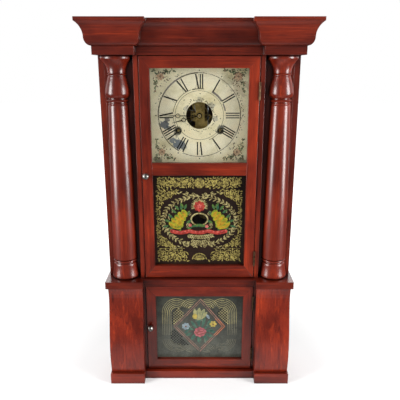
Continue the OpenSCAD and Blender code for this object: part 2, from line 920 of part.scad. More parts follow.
// The verge is a bent steel strip over the escape wheel, with the crutch wire in front
pallet_r = 0.6;
pallet_span = 62;
pallet_reach = escape_r + 1.6;
fork_half = 1.2;
wire = 1.4;
module verge() {
  lean = way(escape_at, verge_at);
  pallet_in = polar(escape_at, pallet_reach, lean + pallet_span / 2);
  pallet_out = polar(escape_at, pallet_reach, lean - pallet_span / 2);
  crutch_z = verge_at.y - crutch_l;
  color(steel)
    union() {
      bar(verge_at, crutch_depth - wire, back_plate_depth + plate_t + 0.8, arbor_r);
      plate(front_wheel_depth - 0.6, 2.2) {
        strap(verge_at, pallet_in, 1.2);
        strap(verge_at, pallet_out, 1.2);
        pivot_boss(verge_at, 2.6);
        pivot_boss(pallet_in, pallet_r);
        pivot_boss(pallet_out, pallet_r);
      }
      board(verge_at.x - wire / 2, verge_at.x + wire / 2, crutch_depth - wire, crutch_depth,
        crutch_z, verge_at.y);
      board(verge_at.x - fork_half - 1, verge_at.x + fork_half + 1, crutch_depth - wire,
        crutch_depth, crutch_z, crutch_z + 1);
      for (side = [-1, 1])
        board(verge_at.x + side * (fork_half + 0.5) - 0.5, verge_at.x + side * (fork_half + 0.5) + 0.5,
          rod_depth - 2, crutch_depth, crutch_z, crutch_z + 1);
    }
}

rod_r = 0.8;
bob_z = suspension_at.y - pendulum_l;
module pendulum_rod() {
  color(steel)
    union() {
      translate([suspension_at.x, at(rod_depth), bob_z + bob_r])
        cylinder(r = rod_r, h = pendulum_l - bob_r - 9.5);
      board(suspension_at.x - ribbon_t / 2, suspension_at.x + ribbon_t / 2,
        rod_depth - ribbon_w / 2, rod_depth + ribbon_w / 2, suspension_at.y - 11,
        suspension_at.y + 1.5);
    }
}

module pendulum_bob() {
  color(brass)
    translate([suspension_at.x, at(rod_depth), bob_z])
      rotate([90, 0, 0])
        translate([0, 0, -bob_t / 2])
          rotate_extrude($fn = 64)
            polygon([[0, 0], [bob_r - 5, 1], [bob_r, bob_t / 2 - 0.6],
              [bob_r, bob_t / 2 + 0.6], [bob_r - 5, bob_t - 1], [0, bob_t]]);
}

// Motion work and hands
module minute_wheel() {
  color(brass)
    union() {
      bar(minute_at, motion_depth, front_plate_depth + plate_t, arbor_r);
      wheel(minute_at, minute_wheel_teeth, cannon_module, minute_wheel_turn, motion_depth + 4.6);
      pinion(minute_at, minute_leaves, hour_module, minute_pinion_turn, motion_depth + 0.2, 3);
    }
}

cannon_r = arbor_r + 1.4;
module cannon_pinion() {
  color(brass)
    difference() {
      union() {
        bar(center_at, 3, motion_depth + 7, cannon_r);
        pinion(center_at, cannon_teeth, cannon_module, cannon_turn, motion_depth + 4, 3);
      }
      bar(center_at, 5, motion_depth + 8, arbor_r + run);
    }
}

hour_pipe_r = cannon_r + 1.2;
module hour_wheel() {
  color(brass)
    difference() {
      union() {
        bar(center_at, dial_depth - 4, motion_depth + 0.8, hour_pipe_r);
        plate(motion_depth + 0.8, wheel_t)
          translate(center_at)
            rotate(hour_turn)
              polygon(tooth_ring(hour_teeth, hour_module));
      }
      bar(center_at, 0, motion_depth + 5, cannon_r + run);
    }
}

// A hand has a ring, a slim shaft and an open circle before its point
module hand_outline(l, ring_at, ring_r, hub) {
  difference() {
    union() {
      circle(r = hub + 2.2);
      translate([0, -0.9])
        square([ring_at, 1.8]);
      translate([ring_at, 0])
        circle(r = ring_r);
      polygon([[ring_at, -1.6], [ring_at + ring_r + 3, -1], [l, -0.3], [l, 0.3],
        [ring_at + ring_r + 3, 1], [ring_at, 1.6]]);
    }
    translate([ring_at, 0])
      circle(r = ring_r - 1.3);
    circle(r = hub);
  }
}

module minute_hand() {
  color("#1c1b1a")
    plate(4, 0.8)
      translate(center_at)
        rotate(minute_angle)
          hand_outline(minute_hand_l, minute_hand_l * minute_ring_share, hand_ring_r, cannon_r);
}

module hour_hand() {
  color("#1c1b1a")
    plate(dial_depth - 3, 0.8)
      translate(center_at)
        rotate(hour_angle)
          hand_outline(hour_hand_l, hour_hand_l * hour_ring_share, hand_ring_r, hour_pipe_r);
}

// Bell with its mouth to the back, on a bolt from the back board
bell_bolt_r = 2.5;
bell_steps = 10;
module bell() {
  color(iron)
    translate([bell_at.x, at(bell_depth), bell_at.y])
      rotate([90, 0, 0])
        rotate_extrude($fn = 64)
          polygon(concat(
            [for (i = [0 : bell_steps]) let (a = 90 * i / bell_steps)
              [max(bell_bolt_r, bell_cup_r * cos(a)), bell_h * sin(a)]],
            [for (i = [bell_steps : -1 : 0]) let (a = 90 * i / bell_steps)
              [max(bell_bolt_r, (bell_cup_r - bell_t) * cos(a)), (bell_h - bell_t) * sin(a)]]));
}

module bell_stand() {
  color(iron)
    union() {
      bar(bell_at, bell_depth - bell_h - 5, back_depth, bell_bolt_r);
      bar(bell_at, bell_depth - bell_h - 3.2, bell_depth - bell_h, 5);
    }
}

// The hammer hangs beside the rim of the bell
hammer_head_at = [bell_at.x + bell_cup_r + 4.8, bell_at.y + 3];
module hammer() {
  arm_depth = inner_depth + 9;
  color(steel)
    union() {
      bar(hammer_at, front_plate_depth - 0.6, back_plate_depth + plate_t + 0.8, arbor_r);
      bar(hammer_at, arm_depth - 1, arm_depth + 3, 2.6);
      plate(arm_depth, 1.8)
        strap(hammer_at, hammer_head_at, 1.8);
      bar(hammer_head_at, arm_depth - 1, bell_depth - 2, 3.5);
    }
}

// Weights, cords and pulleys
module weight(x) {
  translate([x, at(pulley_depth), weight_z])
    cylinder(r = weight_r, h = weight_l, $fn = 64);
}

module weight_left() {
  color(iron)
    weight(-weight_x);
}

module weight_right() {
  color(iron)
    weight(weight_x);
}

// The fall of a cord, from its weight to the side of its pulley
cord_tan = "#c8b894";
module cord(side) {
  translate([side * weight_x, at(pulley_depth), weight_top + seat_gap])
    cylinder(r = cord_r, h = pulley_at.y - weight_top - seat_gap, $fn = 16);
}

module cord_left() {
  color(cord_tan)
    cord(-1);
}

module cord_right() {
  color(cord_tan)
    cord(1);
}

// Each cord goes from under its drum, up over its pulley and down to its weight
cord_sides = 8;
drum_wrap = 150;
wrap_steps = 12;
run_span = norm(pulley_at - time_great_at);
rise = way(time_great_at, pulley_at) + asin((drum_run_r + pulley_run_r) / run_span);
// A stop on the way of the cord is its place in the plane of the drums and its direction
cord_stops = concat(
  [for (i = [0 : wrap_steps]) let (a = rise - 90 - drum_wrap * (1 - i / wrap_steps))
    [polar(time_great_at, drum_run_r, a), a + 90]],
  [for (i = [0 : wrap_steps]) let (a = (rise + 90) * (1 - i / wrap_steps))
    [polar(pulley_at, pulley_run_r, a), a - 90]]);

module cord_sweep(stops) {
  n = len(stops);
  s = cord_sides;
  polyhedron(
    points = [for (stop = stops) for (k = [0 : s - 1])
      let (a = 360 * k / s, side = cord_r * cos(a), place = stop[0], way = stop[1])
      [place.x - side * sin(way), at(pulley_depth) + cord_r * sin(a), place.y + side * cos(way)]],
    faces = concat(
      [[for (k = [s - 1 : -1 : 0]) k]],
      [for (i = [0 : n - 2]) for (k = [0 : s - 1])
        [i * s + k, i * s + (k + 1) % s, (i + 1) * s + (k + 1) % s, (i + 1) * s + k]],
      [[for (k = [0 : s - 1]) (n - 1) * s + k]]));
}

module cord_runs() {
  color(cord_tan)
    both_sides()
      cord_sweep(cord_stops);
}

module pulley(side) {
  half_pin = pulley_half_w + cheek_clear + cheek_t - 0.1;
  translate([side * pulley_at.x, at(pulley_depth), pulley_at.y])
    rotate([90, 0, 0])
      rotate_extrude($fn = 64)
        polygon([[0, -half_pin], [pulley_pin_r, -half_pin], [pulley_pin_r, -pulley_half_w],
          [pulley_r + 2, -pulley_half_w], [pulley_r, -1.4], [pulley_r, 1.4],
          [pulley_r + 2, pulley_half_w], [pulley_pin_r, pulley_half_w], [pulley_pin_r, half_pin],
          [0, half_pin]]);
}

module pulley_left() {
  color(pine)
    pulley(-1);
}

module pulley_right() {
  color(pine)
    pulley(1);
}

// Doors: stiles run the full height and the rails are cut between them at a mitre
module mitred_stile(z0, z1, proud, top_h, bottom_h) {
  plate(-proud, door_t)
    polygon([[open_x, z0 + bottom_h], [door_x, z0], [door_x, z1], [open_x, z1 - top_h]]);
}

// The channel behind the frame that takes the glass
module glass_room(z0, z1, proud) {
  board(-open_x - rebate, open_x + rebate, -proud + glass_set, -proud + door_t + 1,
    z0 - rebate, z1 + rebate);
}

module upper_door_stiles() {
  color(case_red)
    difference() {
      both_sides()
        mitred_stile(upper_door_z, upper_door_top, door_proud, top_rail_h, bottom_rail_h);
      glass_room(dial_open_z, dial_open_top, door_proud);
      glass_room(tablet_z, tablet_top, door_proud);
      bar([-knob_x, upper_knob_z], -30, 20, knob_pin_r + run);
    }
}

module upper_door_rails() {
  color(case_red)
    difference() {
      union() {
        plate(-door_proud, door_t)
          polygon([[-door_x, upper_door_top], [-open_x, dial_open_top],
            [open_x, dial_open_top], [door_x, upper_door_top]]);
        plate(-door_proud, door_t)
          polygon([[-open_x, tablet_top], [-open_x, dial_open_z], [open_x, dial_open_z],
            [open_x, tablet_top]]);
        plate(-door_proud, door_t)
          polygon([[-door_x, upper_door_z], [door_x, upper_door_z], [open_x, tablet_z],
            [-open_x, tablet_z]]);
      }
      glass_room(dial_open_z, dial_open_top, door_proud);
      glass_room(tablet_z, tablet_top, door_proud);
    }
}

glass_slack = 0.3;
module pane(z0, z1, proud) {
  board(-open_x - rebate + glass_slack, open_x + rebate - glass_slack,
    -proud + glass_set + 0.1, -proud + glass_set + 0.1 + glass_t,
    z0 - rebate + glass_slack, z1 + rebate - glass_slack);
}

module dial_glass() {
  color([0.8, 0.9, 0.9, 0.3])
    pane(dial_open_z, dial_open_top, door_proud);
}

module tablet_glass() {
  color("#2b1d18")
    pane(tablet_z, tablet_top, door_proud);
}

module lower_door_stiles() {
  color(case_red)
    difference() {
      both_sides()
        mitred_stile(low_door_z, low_door_top, low_door_proud, low_rail_h, low_rail_h);
      glass_room(low_door_z + low_rail_h, low_door_top - low_rail_h, low_door_proud);
      bar([-knob_x, lower_knob_z], -50, 20, knob_pin_r + run);
    }
}

module lower_door_rails() {
  color(case_red)
    difference() {
      union() {
        plate(-low_door_proud, door_t)
          polygon([[-door_x, low_door_top], [-open_x, low_door_top - low_rail_h],
            [open_x, low_door_top - low_rail_h], [door_x, low_door_top]]);
        plate(-low_door_proud, door_t)
          polygon([[-door_x, low_door_z], [door_x, low_door_z],
            [open_x, low_door_z + low_rail_h], [-open_x, low_door_z + low_rail_h]]);
      }
      glass_room(low_door_z + low_rail_h, low_door_top - low_rail_h, low_door_proud);
    }
}

module lower_glass() {
  color("#3c463e")
    pane(low_door_z + low_rail_h, low_door_top - low_rail_h, low_door_proud);
}

// Hinges: the case leaves carry the pins, and the door leaves turn on them
module hinge_knuckles(z, proud, z0, z1, r, bore) {
  translate([hinge_x, at(-proud), z])
    difference() {
      translate([0, 0, z0])
        cylinder(r = r, h = z1 - z0, $fn = 32);
      if (bore > 0)
        translate([0, 0, z0 - 1])
          cylinder(r = bore, h = z1 - z0 + 2, $fn = 32);
    }
}

module case_leaf(z, proud) {
  union() {
    hinge_knuckles(z, proud, 0, hinge_l / 3 - 0.2, knuckle_r, 0);
    hinge_knuckles(z, proud, hinge_l * 2 / 3 + 0.2, hinge_l, knuckle_r, 0);
    hinge_knuckles(z, proud, 0, hinge_l, hinge_pin_r, 0);
    for (low = [0, hinge_l * 2 / 3 + 0.2])
      board(jamb_x - leaf_t, jamb_x, -proud, -proud + 12, z + low, z + low + hinge_l / 3 - 0.2);
  }
}

module door_leaf(z, proud) {
  union() {
    hinge_knuckles(z, proud, hinge_l / 3 + 0.2, hinge_l * 2 / 3 - 0.2, knuckle_r, hinge_pin_r + run);
    difference() {
      board(door_x, door_x + leaf_t, -proud, -proud + 12, z + hinge_l / 3 + 0.2,
        z + hinge_l * 2 / 3 - 0.2);
      hinge_knuckles(z, proud, 0, hinge_l, hinge_pin_r + run, 0);
    }
  }
}

module case_hinge_leaves() {
  color(brass) {
    for (z = upper_hinge_zs)
      case_leaf(z, upper_hinge_proud);
    for (z = low_hinge_zs)
      case_leaf(z, low_hinge_proud);
  }
}

module upper_hinge_leaves() {
  color(brass)
    for (z = upper_hinge_zs)
      door_leaf(z, upper_hinge_proud);
}

module lower_hinge_leaves() {
  color(brass)
    for (z = low_hinge_zs)
      door_leaf(z, low_hinge_proud);
}

// A knob turns a latch that swings up into the slot in the jamb
knob_x = door_x - 8;
upper_knob_z = tablet_top;
// The lower knob sits a little above the middle of its door
low_knob_rise = 5;
lower_knob_z = (low_door_z + low_door_top) / 2 + low_knob_rise;
knob_pin_r = 2;
knob_proud = 16;
latch_l = 13;
latch_half_w = 3.5;
latch_t = 1.9;
module knob(z, proud) {
  union() {
    translate([-knob_x, at(-proud) - seat_gap, z])
      rotate([90, 0, 0])
        rotate_extrude($fn = 48)
          polygon(concat(
            [[0, 0], [3.4, 0], [3.4, 1.6], [2.6, 4]],
            [for (i = [0 : 8]) let (a = -60 + 150 * i / 8)
              [knob_r * cos(a), knob_proud - knob_r + knob_r * 0.8 * sin(a)]],
            [[0, knob_proud - knob_r * 0.2]]));
    bar([-knob_x, z], -proud - 1, -proud + door_t + seat_gap + latch_t, knob_pin_r);
    board(-knob_x - latch_half_w, -knob_x + latch_half_w, -proud + door_t + seat_gap,
      -proud + door_t + seat_gap + latch_t, z - latch_l, z + latch_half_w);
  }
}

module upper_knob() {
  color(iron)
    knob(upper_knob_z, door_proud);
}

module lower_knob() {
  color(iron)
    knob(lower_knob_z, low_door_proud);
}

case_sides();
back_board();
top_board();
bottom_board();
face_boards();
door_jambs();
frieze();
crown();
columns();
ledge();
pilasters();
plinth_blocks();
base_rail();
dial_plate();
dial_cleats();
front_plate();
back_plate();
plate_pillars();
suspension_stud();
bell();
bell_stand();
case_hinge_leaves();
cord_runs();
upper_door_stiles();
upper_door_rails();
dial_glass();
tablet_glass();
upper_hinge_leaves();
lower_door_stiles();
lower_door_rails();
lower_glass();
lower_hinge_leaves();
upper_knob();
lower_knob();
cannon_pinion();
minute_hand();
minute_wheel();
hour_wheel();
hour_hand();
center_wheel();
third_wheel();
escape_wheel();
second_wheel();
time_great_wheel();
time_drum();
strike_great_wheel();
strike_drum();
pin_wheel();
warning_wheel();
fly();
verge();
pendulum_rod();
pendulum_bob();
hammer();
weight_left();
weight_right();
cord_left();
cord_right();
pulley_left();
pulley_right();
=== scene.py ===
import functools
import math
import random

import bmesh
import bpy
from bpy.props import FloatProperty, FloatVectorProperty, PointerProperty
from mathutils import Matrix, Vector


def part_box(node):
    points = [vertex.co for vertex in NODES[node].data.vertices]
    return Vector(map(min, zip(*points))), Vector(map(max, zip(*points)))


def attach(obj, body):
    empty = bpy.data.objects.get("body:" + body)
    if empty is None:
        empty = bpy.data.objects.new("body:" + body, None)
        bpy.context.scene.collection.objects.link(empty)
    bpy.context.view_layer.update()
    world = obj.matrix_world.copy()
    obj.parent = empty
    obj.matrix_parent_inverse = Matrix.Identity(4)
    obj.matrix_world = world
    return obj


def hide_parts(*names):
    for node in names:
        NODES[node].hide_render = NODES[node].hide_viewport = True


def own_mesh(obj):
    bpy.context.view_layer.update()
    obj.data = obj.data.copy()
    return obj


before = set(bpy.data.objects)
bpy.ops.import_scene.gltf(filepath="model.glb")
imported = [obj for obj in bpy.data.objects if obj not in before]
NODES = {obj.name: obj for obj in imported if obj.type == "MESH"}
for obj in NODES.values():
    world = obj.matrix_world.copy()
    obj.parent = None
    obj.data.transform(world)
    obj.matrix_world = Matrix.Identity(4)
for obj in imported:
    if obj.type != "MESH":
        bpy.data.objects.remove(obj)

bl_info = {
    "name": "Column shelf clock looks",
    "version": (1, 0, 0),
    "blender": (4, 5, 0),
    "location": "3D View > Sidebar > Clock",
    "description": "Finishes, painted glass and dial of a column shelf clock",
    "category": "Object",
}

MM = 0.001
# The front plane of the case along Y, in millimetres
CASE_FRONT = -5


def linear(code):
    """Turn a hex sRGB colour into linear values."""
    values = [int(code[i:i + 2], 16) / 255 for i in (1, 3, 5)]
    return tuple(v / 12.92 if v <= 0.04045 else ((v + 0.055) / 1.055) ** 2.4 for v in values)


def rgba(color):
    """Give a colour of three values, or a hex code, its fourth value."""
    return (*(linear(color) if isinstance(color, str) else color), 1.0)


def grey(value):
    return (value, value, value, 1.0)


# Materials

def add_node(tree, kind, inputs=None, stops=None, output=0, **settings):
    """Add a node, set it, fill or link its inputs, and give back one of its outputs."""
    node = tree.nodes.new(kind)
    for key, value in settings.items():
        setattr(node, key, value)
    for key, value in (inputs or {}).items():
        if isinstance(value, bpy.types.NodeSocket):
            tree.links.new(value, node.inputs[key])
        else:
            node.inputs[key].default_value = value
    if stops:
        elements = node.color_ramp.elements
        while len(elements) < len(stops):
            elements.new(0.5)
        for element, (place, color) in zip(elements, stops):
            element.position = place
            element.color = color
    return node.outputs[output] if len(node.outputs) else None


def new_material(name):
    """Make an empty material; give it with add_node for its tree and its object coordinates."""
    material = bpy.data.materials.new(name)
    material.use_nodes = True
    material.node_tree.nodes.clear()
    add = functools.partial(add_node, material.node_tree)
    return material, add, add("ShaderNodeTexCoord", output="Object")


def weather_and_shade(add, color, layers):
    """Multiply a colour by the ramp of each pattern, as far as the layer's share goes."""
    for share, pattern, stops in layers:
        ramp = add("ShaderNodeValToRGB", {"Fac": pattern}, stops)
        color = add("ShaderNodeMix", {0: share, 6: color, 7: ramp}, output=2,
                    data_type="RGBA", blend_type="MULTIPLY")
    return color


def wood_material(name, grain, wood, seed=0.0, tone=1.0, eased=True):
    """Varnished mahogany: the eye sees long red streaks, dark pores and a glossy coat."""
    material, add, coords = new_material(name)
    moved = add("ShaderNodeMapping", {
        "Vector": coords, "Location": (seed, seed * 0.7, seed * 1.3)})
    # Each pattern is drawn out along the grain, whose axis has the smallest scale
    streaks, clouds, pores = [
        add("ShaderNodeTexNoise", {
            "Vector": add("ShaderNodeMapping", {
                "Vector": moved, "Scale": [along if axis == grain else 1 for axis in "XYZ"]}),
            "Scale": fineness, "Detail": detail, "Roughness": rough, "Distortion": bend})
        for along, fineness, detail, rough, bend in (
            (0.035, 150, 7, 0.66, 0.6), (0.4, 15, 4, 0.55, 0.4), (0.02, 1300, 2, 0.5, 0.0))]
    streaked = add("ShaderNodeValToRGB", {"Fac": streaks}, (
        (0.26, rgba(wood.dark)), (0.44, rgba(wood.middle)),
        (0.54, rgba(wood.middle)), (0.72, rgba(wood.bright))))
    # Painted shade, together with old wax and dirt, darkens the inner corners: ambient occlusion
    # darkens the colour where parts stand close
    corner_dirt_and_shade = add("ShaderNodeAmbientOcclusion", {"Distance": 0.012}, output="AO", samples=6)
    # The tone scales the whole part's colour: painted light as well as the part's own tone
    color = weather_and_shade(add, streaked, (
        (1.0, clouds, ((0.32, (0.5 * tone, 0.44 * tone, 0.44 * tone, 1)),
                       (0.5, grey(0.92 * tone)),
                       (0.66, (1.42 * tone, 1.5 * tone, 1.2 * tone, 1)))),
        (0.8, pores, ((0.3, grey(0.5)), (0.44, grey(1)))),
        (0.92, corner_dirt_and_shade, ((0.3, grey(0.08)), (0.85, grey(1))))))
    rough = add("ShaderNodeMapRange", {
        "Value": clouds, "To Min": wood.roughness - 0.06, "To Max": wood.roughness + 0.12})
    # Sawn edges look eased; the turned columns have none
    normal = (add("ShaderNodeBevel", {"Radius": 0.0011}, samples=4) if eased
              else add("ShaderNodeNewGeometry", output="Normal"))
    bump = add("ShaderNodeBump", {
        "Strength": 0.12, "Distance": 0.0004, "Height": pores, "Normal": normal})
    shader = add("ShaderNodeBsdfPrincipled", {
        "Base Color": color, "Roughness": rough, "Normal": bump, "Specular IOR Level": 0.12,
        "Coat Weight": wood.coat, "Coat Roughness": wood.coat_roughness, "Coat IOR": 1.55,
        "Coat Normal": normal})
    add("ShaderNodeOutputMaterial", {"Surface": shader})
    return material


def pine_material():
    """Bare aged softwood inside the case: brown, dull, with straight darker grain."""
    material, add, coords = new_material("aged_pine")
    grain = add("ShaderNodeTexNoise", {
        "Vector": add("ShaderNodeMapping", {"Vector": coords, "Scale": (1, 1, 0.05)}),
        "Scale": 60, "Detail": 5, "Roughness": 0.6, "Distortion": 0.8})
    stain = add("ShaderNodeTexNoise", {"Vector": coords, "Scale": 7, "Detail": 3})
    streaked = add("ShaderNodeValToRGB", {"Fac": grain}, (
        (0.3, rgba("#3b2716")), (0.5, rgba("#6b4a2b")), (0.7, rgba("#80603c"))))
    color = weather_and_shade(add, streaked, ((0.6, stain, ((0.35, grey(0.5)), (0.65, grey(1)))),))
    bump = add("ShaderNodeBump", {"Strength": 0.3, "Distance": 0.0004, "Height": grain})
    shader = add("ShaderNodeBsdfPrincipled", {
        "Base Color": color, "Roughness": 0.78, "Normal": bump})
    add("ShaderNodeOutputMaterial", {"Surface": shader})
    return material


def metal_material(name, light, dark, roughness, spots, rust=None, bare=1.0):
    """Metal with tarnish: the eye sees patches that are darker and duller than the rest."""
    material, add, coords = new_material(name)
    patches = add("ShaderNodeTexNoise", {
        "Vector": coords, "Scale": spots, "Detail": 5, "Roughness": 0.6})
    fine = add("ShaderNodeTexNoise", {"Vector": coords, "Scale": spots * 14, "Detail": 2})
    color = add("ShaderNodeValToRGB", {"Fac": patches}, (
        (0.36, rgba(dark)), (0.62, rgba(light))))
    # Under old lacquer and tarnish only a part of the metal is bare
    metallic = bare
    if rust:
        blotches = add("ShaderNodeTexNoise", {
            "Vector": coords, "Scale": spots * 2.3, "Detail": 6, "Roughness": 0.7})
        rusted = add("ShaderNodeMapRange", {
            "Value": blotches, "From Min": 0.52, "From Max": 0.66})
        color = add("ShaderNodeMix", {0: rusted, 6: color, 7: rgba(rust)}, output=2,
                    data_type="RGBA")
        metallic = add("ShaderNodeMath", {0: bare, 1: rusted}, operation="SUBTRACT",
                       use_clamp=True)
    rough = add("ShaderNodeMapRange", {
        "Value": patches, "From Min": 0.35, "From Max": 0.65,
        "To Min": roughness + 0.18, "To Max": roughness})
    bump = add("ShaderNodeBump", {"Strength": 0.15, "Distance": 0.0002, "Height": fine})
    shader = add("ShaderNodeBsdfPrincipled", {
        "Base Color": color, "Metallic": metallic, "Roughness": rough, "Normal": bump})
    add("ShaderNodeOutputMaterial", {"Surface": shader})
    return material


def cord_material():
    """Twisted natural fibre: fine slanting strands in a dull straw colour."""
    material, add, coords = new_material("weight_cord")
    turned = add("ShaderNodeMapping", {"Vector": coords, "Rotation": (0.6, 0.5, 0.0)})
    strands = add("ShaderNodeTexWave", {
        "Vector": turned, "Scale": 260.0, "Distortion": 1.0}, output="Fac", bands_direction="Z")
    color = add("ShaderNodeValToRGB", {"Fac": strands}, (
        (0.2, rgba("#5b4a2e")), (0.8, rgba("#b5a077"))))
    bump = add("ShaderNodeBump", {"Strength": 0.5, "Distance": 0.0003, "Height": strands})
    shader = add("ShaderNodeBsdfPrincipled", {
        "Base Color": color, "Roughness": 0.85, "Normal": bump})
    add("ShaderNodeOutputMaterial", {"Surface": shader})
    return material


def clear_glass(add):
    """A thin pane: almost all light goes through, and its face glints."""
    gloss = add("ShaderNodeBsdfGlossy", {"Color": grey(1.0), "Roughness": 0.03})
    through = add("ShaderNodeBsdfTransparent", {"Color": (0.985, 0.992, 0.985, 1.0)})
    glint = add("ShaderNodeMath", {
        0: add("ShaderNodeFresnel", {"IOR": 1.45}), 1: 0.55}, operation="MULTIPLY")
    return add("ShaderNodeMixShader", {0: glint, 1: through, 2: gloss})


def glass_material():
    """The clear pane over the dial."""
    material, add, _ = new_material("dial_pane")
    add("ShaderNodeOutputMaterial", {"Surface": clear_glass(add)})
    return material


def painted_glass(name, top, bottom, low, high, window=None):
    """Glass with a painted ground: the paint is mottled and worn, and the front is glossy."""
    material, add, coords = new_material(name)
    up = add("ShaderNodeMapRange", {
        "Value": add("ShaderNodeSeparateXYZ", {"Vector": coords}, output="Z"),
        "From Min": low, "From Max": high})
    ground = add("ShaderNodeMix", {0: up, 6: rgba(bottom), 7: rgba(top)}, output=2,
                 data_type="RGBA")
    color = weather_and_shade(add, ground, [
        (share, add("ShaderNodeTexNoise", {
            "Vector": coords, "Scale": scale, "Detail": 4, "Roughness": 0.6}),
         ((0.35, grey(dark)), (0.62, grey(light))))
        for scale, share, dark, light in ((26, 0.7, 0.45, 1.25), (300, 0.5, 0.6, 1.2))])
    shader = add("ShaderNodeBsdfPrincipled", {
        "Base Color": color, "Roughness": 0.55, "Specular IOR Level": 0.1,
        "Coat Weight": 0.8, "Coat Roughness": 0.05})
    if window:
        x, z, half_x, half_z = window
        # The wide depth keeps the oval from narrowing through the pane
        placed = add("ShaderNodeMapping", {
            "Vector": coords, "Location": (x, 0, z), "Scale": (half_x, 10, half_z)},
            vector_type="TEXTURE")
        away = add("ShaderNodeVectorMath", {0: placed}, output="Value", operation="LENGTH")
        inside = add("ShaderNodeMath", {0: away, 1: 1.0}, operation="LESS_THAN")
        shader = add("ShaderNodeMixShader", {0: inside, 1: shader, 2: clear_glass(add)})
    add("ShaderNodeOutputMaterial", {"Surface": shader})
    return material


def paint_material(name, color, second, wear, glossy=False, size=160):
    """Old paint: two tones in patches, with flakes missing where it has worn through."""
    material, add, coords = new_material(name)
    tones = add("ShaderNodeTexNoise", {
        "Vector": coords, "Scale": size, "Detail": 4, "Roughness": 0.6})
    shade = add("ShaderNodeValToRGB", {"Fac": tones}, (
        (0.38, rgba(second)), (0.6, rgba(color))))
    coat = {"Coat Weight": 0.8, "Coat Roughness": 0.05} if glossy else {}
    shader = add("ShaderNodeBsdfPrincipled", {
        "Base Color": shade, "Roughness": 0.6, "Specular IOR Level": 0.15, **coat})
    if wear > 0:
        # Fine flakes go first where a broad pattern is low
        flakes = add("ShaderNodeTexNoise", {
            "Vector": coords, "Scale": size * 2.2, "Detail": 4, "Roughness": 0.65})
        broad = add("ShaderNodeTexNoise", {"Vector": coords, "Scale": 22, "Detail": 2})
        both = add("ShaderNodeMix", {0: 0.4, 2: flakes, 3: broad})
        gone = add("ShaderNodeMath", {0: both, 1: wear}, operation="LESS_THAN")
        shader = add("ShaderNodeMixShader", {
            0: gone, 1: shader, 2: add("ShaderNodeBsdfTransparent")})
    add("ShaderNodeOutputMaterial", {"Surface": shader})
    return material


# Stains of the dial: place from its middle and radius in millimetres, colour, strength
STAINS = (
    (-77, -20, 13, "#565e6b", 0.9), (-71, -9, 8, "#5f5e62", 0.85), (-66, -27, 8, "#4f555e", 0.8),
    (-47, -62, 15, "#5f6b78", 0.92), (-60, -54, 9, "#6b7580", 0.85), (-36, -70, 9, "#56616c", 0.85),
    (-46, -33, 14, "#33302c", 0.75), (46, -33, 14, "#3d4248", 0.7), (52, -27, 7, "#4f5a63", 0.7),
    (-92, -100, 13, "#4d4b38", 0.6), (94, -100, 12, "#47553f", 0.55), (84, 60, 26, "#a08c74", 0.4),
    (60, 74, 20, "#a79f80", 0.45), (0, 30, 12, "#77776f", 0.45), (27, 22, 12, "#6f757a", 0.5),
    (33, -8, 9, "#7d8086", 0.45), (-28, 16, 9, "#7d8086", 0.4))
# Noise is added to a place's share of the stain's radius, and the rim lies between these sums
RAGGED = 2.6
STAIN_RIM = (1.86, 1.98)


def dial_material(dial, center, half):
    """Cream dial paint: yellow-green towards its edges, with stains, cracks and bare spots."""
    material, add, coords = new_material("dial_cream")
    flat = add("ShaderNodeMapping", {"Vector": coords, "Scale": (1, 0, 1)})
    radius = add("ShaderNodeVectorMath", {0: flat, 1: (0, 0, center)}, output="Value",
                 operation="DISTANCE")
    outward = add("ShaderNodeMath", {0: radius, 1: half}, operation="DIVIDE")
    # The edge colour is lighter than the centre: painted light against the shade of the door's
    # frame on the corners
    color = add("ShaderNodeValToRGB", {"Fac": outward}, (
        (0.5, rgba(dial.cream)), (0.62, rgba(dial.chapter)), (0.86, rgba(dial.chapter)),
        (1.0, rgba(dial.edge))))
    yellowed, specks = [
        add("ShaderNodeTexNoise", {
            "Vector": coords, "Scale": scale, "Detail": 5, "Roughness": 0.6})
        for scale in (24, 420)]
    cracks = add("ShaderNodeTexVoronoi", {"Vector": coords, "Scale": 70.0},
                 feature="DISTANCE_TO_EDGE")
    color = weather_and_shade(add, color, (
        (0.55, yellowed, ((0.3, rgba("#d2cba4")), (0.5, grey(1)), (0.7, rgba("#fff4e4")))),
        (0.7, specks, ((0.3, grey(0.55)), (0.4, grey(1)))),
        (0.18, cracks, ((0.0, grey(0.3)), (0.03, grey(1))))))
    rough_noise = add("ShaderNodeTexNoise", {
        "Vector": coords, "Scale": 60, "Detail": 5, "Roughness": 0.7})
    for spot_x, spot_z, spot_r, tint, strength in STAINS:
        away = add("ShaderNodeVectorMath", {
            0: flat, 1: (spot_x * MM, 0, center + spot_z * MM)}, output="Value",
            operation="DISTANCE")
        share = add("ShaderNodeMath", {0: away, 1: spot_r * MM}, operation="DIVIDE")
        ragged = add("ShaderNodeMath", {0: rough_noise, 1: RAGGED, 2: share},
                     operation="MULTIPLY_ADD")
        mask = add("ShaderNodeMapRange", {
            "Value": ragged, "From Min": STAIN_RIM[0], "From Max": STAIN_RIM[1],
            "To Min": strength, "To Max": 0.0})
        color = add("ShaderNodeMix", {0: mask, 6: color, 7: rgba(tint)}, output=2,
                    data_type="RGBA")
    bump = add("ShaderNodeBump", {"Strength": 0.15, "Distance": 0.0003, "Height": rough_noise})
    shader = add("ShaderNodeBsdfPrincipled", {
        "Base Color": color, "Roughness": 0.55, "Specular IOR Level": 0.3, "Normal": bump})
    add("ShaderNodeOutputMaterial", {"Surface": shader})
    return material


# Painted shapes

def polar(radius, degrees):
    """The place that lies at a radius and an angle from the middle, as (x, z)."""
    return radius * math.cos(math.radians(degrees)), radius * math.sin(math.radians(degrees))


